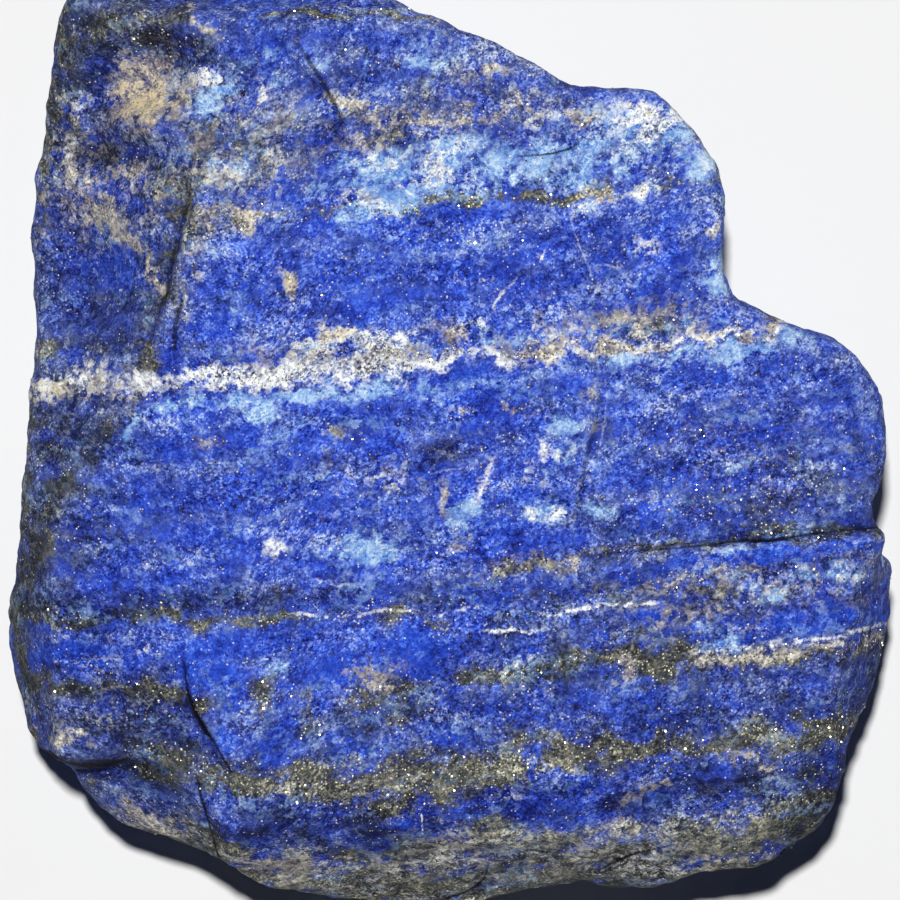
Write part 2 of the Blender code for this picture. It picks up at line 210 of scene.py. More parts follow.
# Hollows of the top: centre, half widths and depth, then the turn in degrees
HOLLOWS = {
    "stained_hollow": (-34.0, 39.4, 9.2, 6.2, 4.6, 22.0),
    "lower_hollow": (-36.4, 30.8, 7.4, 4.6, 3.2, -8.0),
    "middle_scar": (-0.8, -2.8, 4.6, 2.6, 0.55, 12.0),
    "flake_scar": (-17.6, -27.0, 5.4, 3.6, 0.8, 30.0),
    "side_dish": (-40.0, 17.5, 6.0, 8.0, 1.2, 12.0),
    "right_dish": (31.0, -2.0, 13.0, 8.5, 1.0, 0.0),
}

# Knobs left on the underside: centre, half widths and height
UNDER_KNOBS = {
    "front_knob": (-14.0, -34.0, 10.0, 7.0, 2.4),
    "right_knob": (30.0, 6.0, 9.0, 11.0, 2.6),
    "back_knob": (2.0, 37.0, 12.0, 7.0, 2.2),
    "left_knob": (-37.0, 8.0, 6.0, 12.0, 2.0),
}


def smooth_step(values: Rows) -> Rows:
    """0 below 0, 1 above 1, and an even curve between."""
    share = np.clip(values, 0, 1)
    return share * share * (3 - 2 * share)


def soft_min(a: Rows, b: Rows, blend: float) -> Rows:
    """The lower of two surfaces, rounded over the given height where they meet."""
    near = np.maximum(blend - np.abs(a - b), 0.0) / blend
    return np.minimum(a, b) - near**2 * blend / 4


def face_height(face: tuple[float, ...], x: Rows, y: Rows) -> Rows:
    """Height of one fracture face over the given places."""
    px, py, pz, slope_x, slope_y = face
    return pz + slope_x * (x - px) + slope_y * (y - py)


def round_off(x: Rows, y: Rows, centre: tuple[float, float], halves: tuple[float, float], turn: float) -> Rows:
    """How far each place is from a centre, squared, where 1 is the edge of an ellipse.

    Args:
        x: Places along X.
        y: Places along Y.
        centre: The ellipse's middle.
        halves: Its half widths along its own two axes.
        turn: How far it is turned, in degrees, from X towards Y.

    Returns:
        0 at the centre, 1 on the ellipse, and more outside.
    """
    c, s = math.cos(math.radians(turn)), math.sin(math.radians(turn))
    dx, dy = x - centre[0], y - centre[1]
    return ((c * dx + s * dy) / halves[0]) ** 2 + ((c * dy - s * dx) / halves[1]) ** 2


def on_plan(line: Line) -> list[tuple[float, ...]]:
    """A line given in the photograph's pixels, with its places in millimetres and its other values kept."""
    return [((px - MIDDLE_PIXEL[0]) * PIXEL, (MIDDLE_PIXEL[1] - py) * PIXEL, *rest) for px, py, *rest in line]


def beside_line(x: Rows, y: Rows, line: Line) -> tuple[Rows, list[Rows]]:
    """Where each place is beside a broken line.

    Args:
        x: Places along X.
        y: Places along Y.
        line: Points as x and y, each followed by the line's own values there.

    Returns:
        The distance, positive on the line's left, and the line's values at its nearest place.
    """
    least = np.full(len(x), np.inf)
    signed = np.zeros(len(x))
    values = [np.zeros(len(x)) for _ in line[0][2:]]
    for (ax, ay, *a_values), (bx, by, *b_values) in zip(line[:-1], line[1:]):
        run_x, run_y = bx - ax, by - ay
        dx, dy = x - ax, y - ay
        share = np.clip((dx * run_x + dy * run_y) / (run_x**2 + run_y**2), 0, 1)
        away = np.hypot(dx - share * run_x, dy - share * run_y)
        closer = away < least
        least = np.where(closer, away, least)
        signed = np.where(closer, np.where(run_x * dy >= run_y * dx, away, -away), signed)
        for row, (at_a, at_b) in enumerate(zip(a_values, b_values)):
            values[row] = np.where(closer, at_a + share * (at_b - at_a), values[row])
    return signed, values


def noise_rows(places: Rows, size: Sequence[float], pick: Sequence[float]) -> Rows:
    """Smooth random vectors over the given places.

    Args:
        places: Rows of x, y and z.
        size: The width of the pattern's features along each axis.
        pick: An offset that picks one pattern out of all those of its size.

    Returns:
        Rows of three values, mostly between -0.5 and 0.5.
    """
    scaled = places / np.array(size) + np.array(pick)
    return np.array([noise.noise_vector(Vector(row)) for row in scaled])


@dataclass(frozen=True)
class Seam:
    """A band of one mineral along the beds. Its points are x, y and half width in pixels, and its share."""

    mineral: Mineral
    line: Line

    def share(self, x: Rows, y: Rows) -> Rows:
        """How much of each place the band takes up."""
        beside, (half, share) = beside_line(x, y, on_plan(self.line))
        return share * np.exp(-(np.abs(beside / (half * PIXEL)) ** 2.5))


@dataclass(frozen=True)
class Edge(Seam):
    """A mineral that takes up everything on the left of a line. Its points are as for a seam."""

    def share(self, x: Rows, y: Rows) -> Rows:
        """How much of each place the mineral takes up, fading across the line by its half width."""
        beside, (half, share) = beside_line(x, y, on_plan(self.line))
        return share * smooth_step(0.5 + beside / (2 * half * PIXEL))


# Bands of the layout, in pixels of the photograph
SEAMS = {
    "white_vein": Seam(Mineral.CALCITE, (
        (-20, 390, 13, 0.9), (34, 390, 13, 1), (60, 386, 11, 1), (75, 382, 11, 1), (120, 382, 11, 1),
        (135, 384, 8, 0.85), (165, 385, 8, 0.85), (200, 382, 10, 0.85), (235, 380, 11, 0.9), (260, 378, 12, 1),
        (300, 369, 14, 1), (345, 366, 16, 0.95), (385, 364, 14, 0.95), (425, 364, 10, 0.85), (450, 362, 7, 0.7),
        (500, 357, 6, 0.65), (545, 350, 6, 0.6), (600, 350, 6, 0.7), (630, 348, 8, 0.85), (662, 346, 5, 0.65),
        (685, 340, 6, 0.85), (712, 338, 6, 0.85), (758, 334, 5, 0.7), (800, 326, 3, 0.2), (930, 335, 3, 0.2),
    )),
    "beige_streak": Seam(Mineral.BEIGE, (
        (326, 104, 4, 0), (331, 107, 5, 0.7), (350, 114, 6, 0.8), (371, 122, 5, 0.7), (380, 126, 4, 0),
    )),
    "upper_beige_seam": Seam(Mineral.BEIGE, (
        (371, 124, 3, 0.3), (422, 122, 4, 0.55), (465, 122, 4, 0.6), (491, 113, 4, 0.5),
        (520, 110, 4, 0.6), (545, 118, 4, 0.5), (568, 125, 4, 0.4), (600, 118, 4, 0.3), (640, 112, 4, 0.3),
    )),
    "corner_line": Seam(Mineral.BEIGE, (
        (180, 4, 3, 0.8), (190, 14, 3, 0.8), (199, 25, 4, 0.8), (216, 44, 4, 0.6), (222, 55, 3, 0),
    )),
    "flank_line": Seam(Mineral.BEIGE, (
        (100, 222, 3, 0.3), (107, 226, 4, 0.7), (122, 235, 4, 0.8), (145, 256, 3, 0.7), (163, 283, 3, 0.7),
        (168, 300, 3, 0),
    )),
    "lens_edge": Seam(Mineral.BEIGE, (
        (620, 797, 2, 0), (631, 791, 3, 0.8), (650, 783, 3, 0.8), (663, 778, 3, 0.7), (690, 768, 3, 0),
    )),
    "low_beige_line": Seam(Mineral.BEIGE, (
        (716, 753, 3, 0), (740, 751, 3, 0.8), (757, 757, 3, 0.8), (770, 770, 4, 0.7), (774, 782, 3, 0),
    )),
    "under_right_vein": Seam(Mineral.BEIGE, (
        (676, 656, 4, 0), (690, 656, 5, 0.5), (740, 655, 6, 0.7), (800, 649, 6, 0.6), (849, 643, 6, 0.5),
        (930, 634, 6, 0.4),
    )),
    "upper_pyrite_seam": Seam(Mineral.GREY, (
        (240, 24, 6, 0), (270, 20, 6, 0.5), (300, 17, 6, 0.75), (350, 17, 6, 0.85), (395, 17, 6, 0.85),
        (420, 22, 5, 0.5), (460, 38, 5, 0.2),
    )),
    "pyrite_line": Seam(Mineral.GREY, (
        (232, 221, 5, 0.8), (255, 218, 6, 0.8), (275, 216, 5, 0.6), (300, 214, 4, 0.5), (333, 213, 3, 0.4),
        (385, 209, 4, 0.7), (420, 206, 6, 0.95), (468, 206, 5, 0.95), (510, 199, 4, 0.9),
        (568, 193, 4, 0.9), (600, 191, 5, 0.8), (640, 190, 4, 0.5), (692, 184, 3, 0.7), (717, 182, 3, 0.8),
        (760, 178, 3, 0.6),
    )),
    "over_the_ledge": Seam(Mineral.GREY, (
        (430, 590, 5, 0), (450, 586, 5, 0.3), (480, 576, 8, 0.4), (530, 567, 8, 0.45), (587, 556, 7, 0.5),
        (640, 548, 6, 0.5), (700, 540, 6, 0.55), (768, 534, 6, 0.6), (810, 529, 6, 0.5),
        (930, 518, 6, 0.4),
    )),
    "left_dark_seam": Seam(Mineral.GREY, (
        (-20, 612, 8, 0.5), (46, 616, 6, 0.6), (96, 617, 5, 0.6), (134, 614, 6, 0.6), (190, 617, 7, 0.7),
        (249, 620, 7, 0.6), (285, 612, 8, 0.75), (311, 618, 6, 0.5), (340, 622, 5, 0),
    )),
    "middle_grey_seam": Seam(Mineral.GREY, (
        (355, 612, 6, 0), (376, 614, 9, 0.6), (405, 616, 11, 0.65), (434, 618, 9, 0.5), (470, 636, 6, 0),
    )),
    "left_grey_gold": Seam(Mineral.GREY, (
        (-20, 680, 6, 0.4), (57, 681, 8, 0.65), (92, 682, 8, 0.6), (120, 684, 7, 0.4), (153, 686, 10, 0.6),
        (187, 690, 11, 0.75), (192, 692, 8, 0),
    )),
    "olive_seam": Seam(Mineral.GREY, (
        (440, 684, 8, 0), (457, 680, 10, 0.6), (500, 675, 12, 0.7), (549, 668, 10, 0.75),
        (600, 655, 10, 0.7), (640, 660, 14, 0.5), (680, 654, 8, 0.5), (740, 656, 9, 0.65),
        (800, 655, 9, 0.6), (849, 652, 8, 0.5), (930, 640, 8, 0.45),
    )),
    "pyrite_band": Seam(Mineral.GREY, (
        (190, 765, 5, 0.2), (215, 778, 16, 0.8), (250, 780, 18, 0.9), (300, 778, 20, 0.85),
        (350, 786, 25, 0.85), (390, 782, 26, 0.85), (430, 775, 24, 0.9), (470, 768, 20, 0.9),
        (510, 757, 18, 0.95), (560, 752, 18, 0.95), (600, 750, 16, 0.9), (640, 748, 15, 0.9),
        (680, 742, 14, 0.85), (740, 732, 16, 0.9), (800, 730, 15, 0.85), (864, 722, 12, 0.8),
        (930, 714, 12, 0.8),
    )),
    "bottom_rock": Seam(Mineral.GREY, (
        (60, 850, 16, 0.6), (140, 832, 14, 0.6), (200, 842, 16, 0.7), (240, 868, 18, 0.8),
        (300, 870, 20, 0.75), (360, 872, 22, 0.8), (430, 860, 26, 0.8), (480, 848, 26, 0.8),
        (530, 850, 28, 0.8), (600, 850, 28, 0.85), (660, 846, 26, 0.85), (720, 838, 26, 0.85),
        (780, 826, 22, 0.85), (830, 805, 16, 0.7), (900, 775, 16, 0.6),
    )),
    "front_rock": Seam(Mineral.GREY, (
        (-40, 930, 36, 0.8), (200, 915, 30, 0.85), (450, 910, 34, 0.85), (700, 890, 34, 0.85),
        (940, 850, 30, 0.8),
    )),
    "fold_grey": Seam(Mineral.GREY, (
        (222, 118, 6, 0.3), (208, 138, 8, 0.5), (198, 165, 10, 0.5), (190, 200, 13, 0.6),
        (182, 240, 15, 0.6), (172, 280, 15, 0.6), (160, 330, 15, 0.6), (152, 365, 14, 0.6),
        (138, 400, 10, 0.4), (128, 430, 8, 0),
    )),
    "second_fold_grey": Seam(Mineral.GREY, (
        (262, 116, 5, 0), (264, 130, 6, 0.5), (266, 160, 6, 0.5), (260, 190, 6, 0),
    )),
    "left_rim": Seam(Mineral.GREY, (
        (64, 8, 5, 0.6), (56, 60, 6, 0.7), (48, 120, 6, 0.7), (40, 190, 5, 0.6), (35, 280, 3, 0.4),
        (33, 340, 3, 0.4), (32, 420, 5, 0.5), (26, 500, 9, 0.6), (19, 580, 13, 0.6), (18, 640, 11, 0.6),
        (24, 700, 10, 0.6), (34, 745, 8, 0.5),
    )),
    "navy_band": Seam(Mineral.NAVY_AND_SHADE, (
        (200, 812, 10, 0.4), (215, 816, 15, 0.7), (250, 820, 19, 0.85), (320, 827, 18, 1),
        (390, 828, 15, 0.9), (424, 826, 9, 0.3), (440, 822, 8, 0),
    )),
    "navy_band_right": Seam(Mineral.NAVY_AND_SHADE, (
        (462, 802, 10, 0), (480, 800, 12, 0.5), (520, 797, 16, 0.6), (580, 792, 18, 0.5),
        (640, 792, 16, 0.6), (720, 785, 18, 0.55), (800, 775, 16, 0.5), (930, 755, 12, 0.4),
    )),
    "ledge_shadow": Seam(Mineral.NAVY_AND_SHADE, (
        (560, 557, 3, 0), (640, 550, 3, 0.4), (696, 544, 3, 0.7), (740, 540, 3, 0.9), (790, 537, 3, 0.9),
        (830, 531, 3, 0.8), (930, 522, 3, 0.8),
    )),
    "left_dark": Seam(Mineral.NAVY_AND_SHADE, (
        (-20, 600, 12, 0.5), (60, 600, 10, 0.5), (130, 600, 8, 0.45), (200, 592, 8, 0.3), (260, 590, 8, 0),
    )),
    "under_ledge": Seam(Mineral.VIVID, (
        (440, 606, 5, 0), (480, 600, 7, 0.4), (560, 590, 8, 0.5), (620, 578, 9, 0.6), (680, 566, 9, 0.75),
        (705, 556, 10, 0.95), (760, 553, 11, 1), (820, 548, 11, 0.9), (930, 540, 10, 0.8),
    )),
    "left_vivid_band": Seam(Mineral.VIVID, (
        (-20, 655, 14, 0.7), (50, 656, 14, 0.9), (110, 652, 12, 0.75), (172, 655, 12, 0.75),
        (186, 660, 10, 0.5),
    )),
    "right_vivid_band": Seam(Mineral.VIVID, (
        (560, 622, 8, 0), (600, 620, 11, 0.8), (640, 622, 11, 0.75), (700, 630, 15, 0.85),
        (760, 625, 15, 0.85), (830, 620, 15, 0.85), (930, 608, 14, 0.8),
    )),
    "under_vein": Seam(Mineral.SKY, (
        (146, 402, 5, 0), (165, 405, 8, 0.8), (178, 404, 6, 0.4), (195, 401, 7, 0.65), (215, 404, 6, 0.4),
        (240, 404, 9, 0.85), (268, 408, 10, 0.95), (282, 400, 8, 0.4), (305, 396, 8, 0.75),
        (340, 396, 8, 0.7), (352, 398, 6, 0.4), (370, 395, 11, 0.75), (392, 398, 7, 0.3),
        (410, 394, 6, 0.3), (430, 391, 9, 0.65), (450, 390, 8, 0.6), (470, 385, 6, 0.2),
        (560, 372, 6, 0.15), (600, 362, 6, 0.3), (619, 360, 8, 0.65), (640, 364, 6, 0.3),
        (664, 365, 8, 0.6), (680, 358, 6, 0.4), (697, 352, 8, 0.8), (735, 352, 11, 0.75),
        (760, 350, 7, 0.3), (784, 342, 7, 0.6), (808, 341, 8, 0.65), (830, 338, 6, 0),
    )),
    "over_vein": Seam(Mineral.SKY, (
        (300, 350, 8, 0.35), (345, 345, 10, 0.45), (400, 346, 9, 0.4), (450, 345, 8, 0.4),
        (547, 335, 6, 0.4), (600, 330, 6, 0.3), (690, 322, 6, 0.4), (740, 318, 5, 0.3),
    )),
    "upper_seam": Seam(Mineral.PYRITE, (
        (260, 22, 6, 0), (300, 17, 6, 0.6), (350, 17, 6, 0.7), (400, 17, 6, 0.7), (440, 28, 5, 0.2),
    )),
    "line_of_grains": Seam(Mineral.PYRITE, (
        (232, 221, 5, 0.6), (258, 218, 7, 0.9), (300, 214, 3, 0.5), (385, 209, 4, 0.8), (420, 206, 6, 1),
        (468, 206, 5, 1), (510, 199, 4, 1), (568, 193, 4, 1), (600, 191, 4, 0.8), (692, 184, 3, 0.8),
        (717, 182, 3, 1), (760, 178, 3, 0.8),
    )),
    "vein_grains": Seam(Mineral.PYRITE, (
        (165, 390, 6, 0.5), (215, 384, 9, 0.9), (260, 380, 9, 0.7), (320, 366, 14, 0.8), (400, 360, 12, 0.9),
        (430, 350, 9, 0.7), (500, 350, 5, 0.6), (545, 350, 6, 1), (568, 350, 6, 0.9), (600, 345, 5, 0.6),
        (660, 344, 5, 0.6), (760, 330, 5, 0.6),
        (785, 322, 4, 0.7),
    )),
    "ledge_grains": Seam(Mineral.PYRITE, (
        (396, 552, 6, 0.3), (438, 550, 6, 0.4), (480, 570, 7, 0.35), (560, 560, 6, 0.4),
        (640, 550, 5, 0.5), (700, 543, 4, 0.5), (800, 534, 4, 0.4), (930, 520, 4, 0.4),
    )),
    "left_seam_grains": Seam(Mineral.PYRITE, (
        (40, 616, 4, 0.3), (134, 612, 6, 0.6), (200, 616, 7, 0.6), (249, 620, 7, 0.6), (285, 614, 9, 0.9),
        (340, 612, 6, 0.5), (400, 614, 12, 0.7), (434, 620, 9, 0.6), (480, 640, 6, 0.1),
    )),
    "under_vivid_grains": Seam(Mineral.PYRITE, (
        (620, 590, 5, 0.3), (667, 580, 5, 0.7), (700, 578, 5, 0.8), (734, 572, 5, 0.9), (772, 570, 4, 0.9),
        (820, 572, 4, 0.4), (930, 560, 4, 0.4),
    )),
    "olive_grains": Seam(Mineral.PYRITE, (
        (440, 684, 8, 0.2), (500, 676, 12, 0.7), (549, 668, 10, 0.8), (600, 652, 11, 0.7),
        (640, 664, 14, 0.5), (690, 652, 7, 0.8), (740, 655, 8, 0.9), (800, 652, 8, 0.8),
        (849, 648, 8, 0.7), (930, 636, 8, 0.6),
    )),
    "pyrite_band_grains": Seam(Mineral.PYRITE, (
        (196, 768, 6, 0.4), (215, 778, 16, 0.7), (250, 780, 18, 0.85), (300, 778, 20, 0.85),
        (350, 786, 25, 0.9), (390, 782, 26, 1), (430, 775, 24, 0.8), (470, 766, 20, 0.95),
        (510, 757, 18, 1), (560, 752, 18, 1), (600, 750, 16, 1), (640, 748, 15, 0.95), (680, 742, 14, 0.9),
        (740, 732, 16, 0.85), (800, 730, 15, 0.85), (864, 722, 12, 0.85), (930, 714, 12, 0.8),
    )),
    "flank_dust": Edge(Mineral.DUST, (
        (26, 700, 6, 0.2), (30, 655, 6, 0.35), (40, 610, 7, 0.55), (60, 560, 8, 0.65), (80, 510, 8, 0.65),
        (110, 450, 8, 0.65), (140, 395, 6, 0.5), (150, 370, 6, 0.5), (165, 320, 7, 0.45),
        (175, 290, 8, 0.45), (188, 220, 8, 0.55), (195, 175, 8, 0.6), (210, 140, 8, 0.6),
        (235, 100, 8, 0.6), (215, 50, 6, 0.65), (185, 0, 6, 0.65), (170, -40, 6, 0.6),
    )),
    "flank_shade": Edge(Mineral.NAVY_AND_SHADE, (
        (26, 700, 6, 0.1), (30, 655, 6, 0.2), (40, 610, 7, 0.3), (60, 560, 8, 0.3), (80, 510, 8, 0.28),
        (110, 450, 8, 0.28), (140, 405, 6, 0.22), (143, 390, 5, 0.05), (150, 370, 6, 0.05),
        (158, 350, 7, 0.3), (165, 320, 7, 0.3), (175, 290, 8, 0.28), (188, 220, 8, 0.3),
        (195, 175, 8, 0.35), (210, 140, 8, 0.35), (225, 110, 8, 0.2), (235, 100, 8, 0.2),
        (215, 50, 6, 0.35), (185, 0, 6, 0.4), (170, -40, 6, 0.4),
    )),
    "block_dust": Edge(Mineral.DUST, (
        (240, 900, 4, 0.6), (226, 868, 4, 0.6), (204, 797, 4, 0.6), (199, 768, 4, 0.6), (230, 766, 4, 0.6),
        (205, 722, 4, 0.7), (192, 690, 4, 0.7), (185, 662, 5, 0.4), (150, 668, 8, 0.4), (60, 668, 8, 0.4),
        (-20, 668, 8, 0.3),
    )),
    "block_shade": Edge(Mineral.NAVY_AND_SHADE, (
        (240, 900, 4, 0.1), (226, 868, 4, 0.1), (204, 797, 4, 0.1), (199, 768, 4, 0.2),
        (230, 766, 4, 0.3), (205, 722, 4, 0.35), (192, 690, 4, 0.35), (185, 662, 5, 0.3),
        (150, 668, 8, 0.3), (60, 668, 8, 0.3), (-20, 668, 8, 0.3),
    )),
    "right_wall_shade": Edge(Mineral.NAVY_AND_SHADE, (
        (884, 560, 4, 0), (878, 620, 6, 0.4), (868, 660, 7, 0.55), (850, 705, 9, 0.6), (835, 750, 9, 0.65),
        (815, 800, 9, 0.6), (780, 840, 8, 0.5), (700, 862, 8, 0.4), (600, 872, 8, 0.3), (500, 884, 8, 0.2),
    )),
}

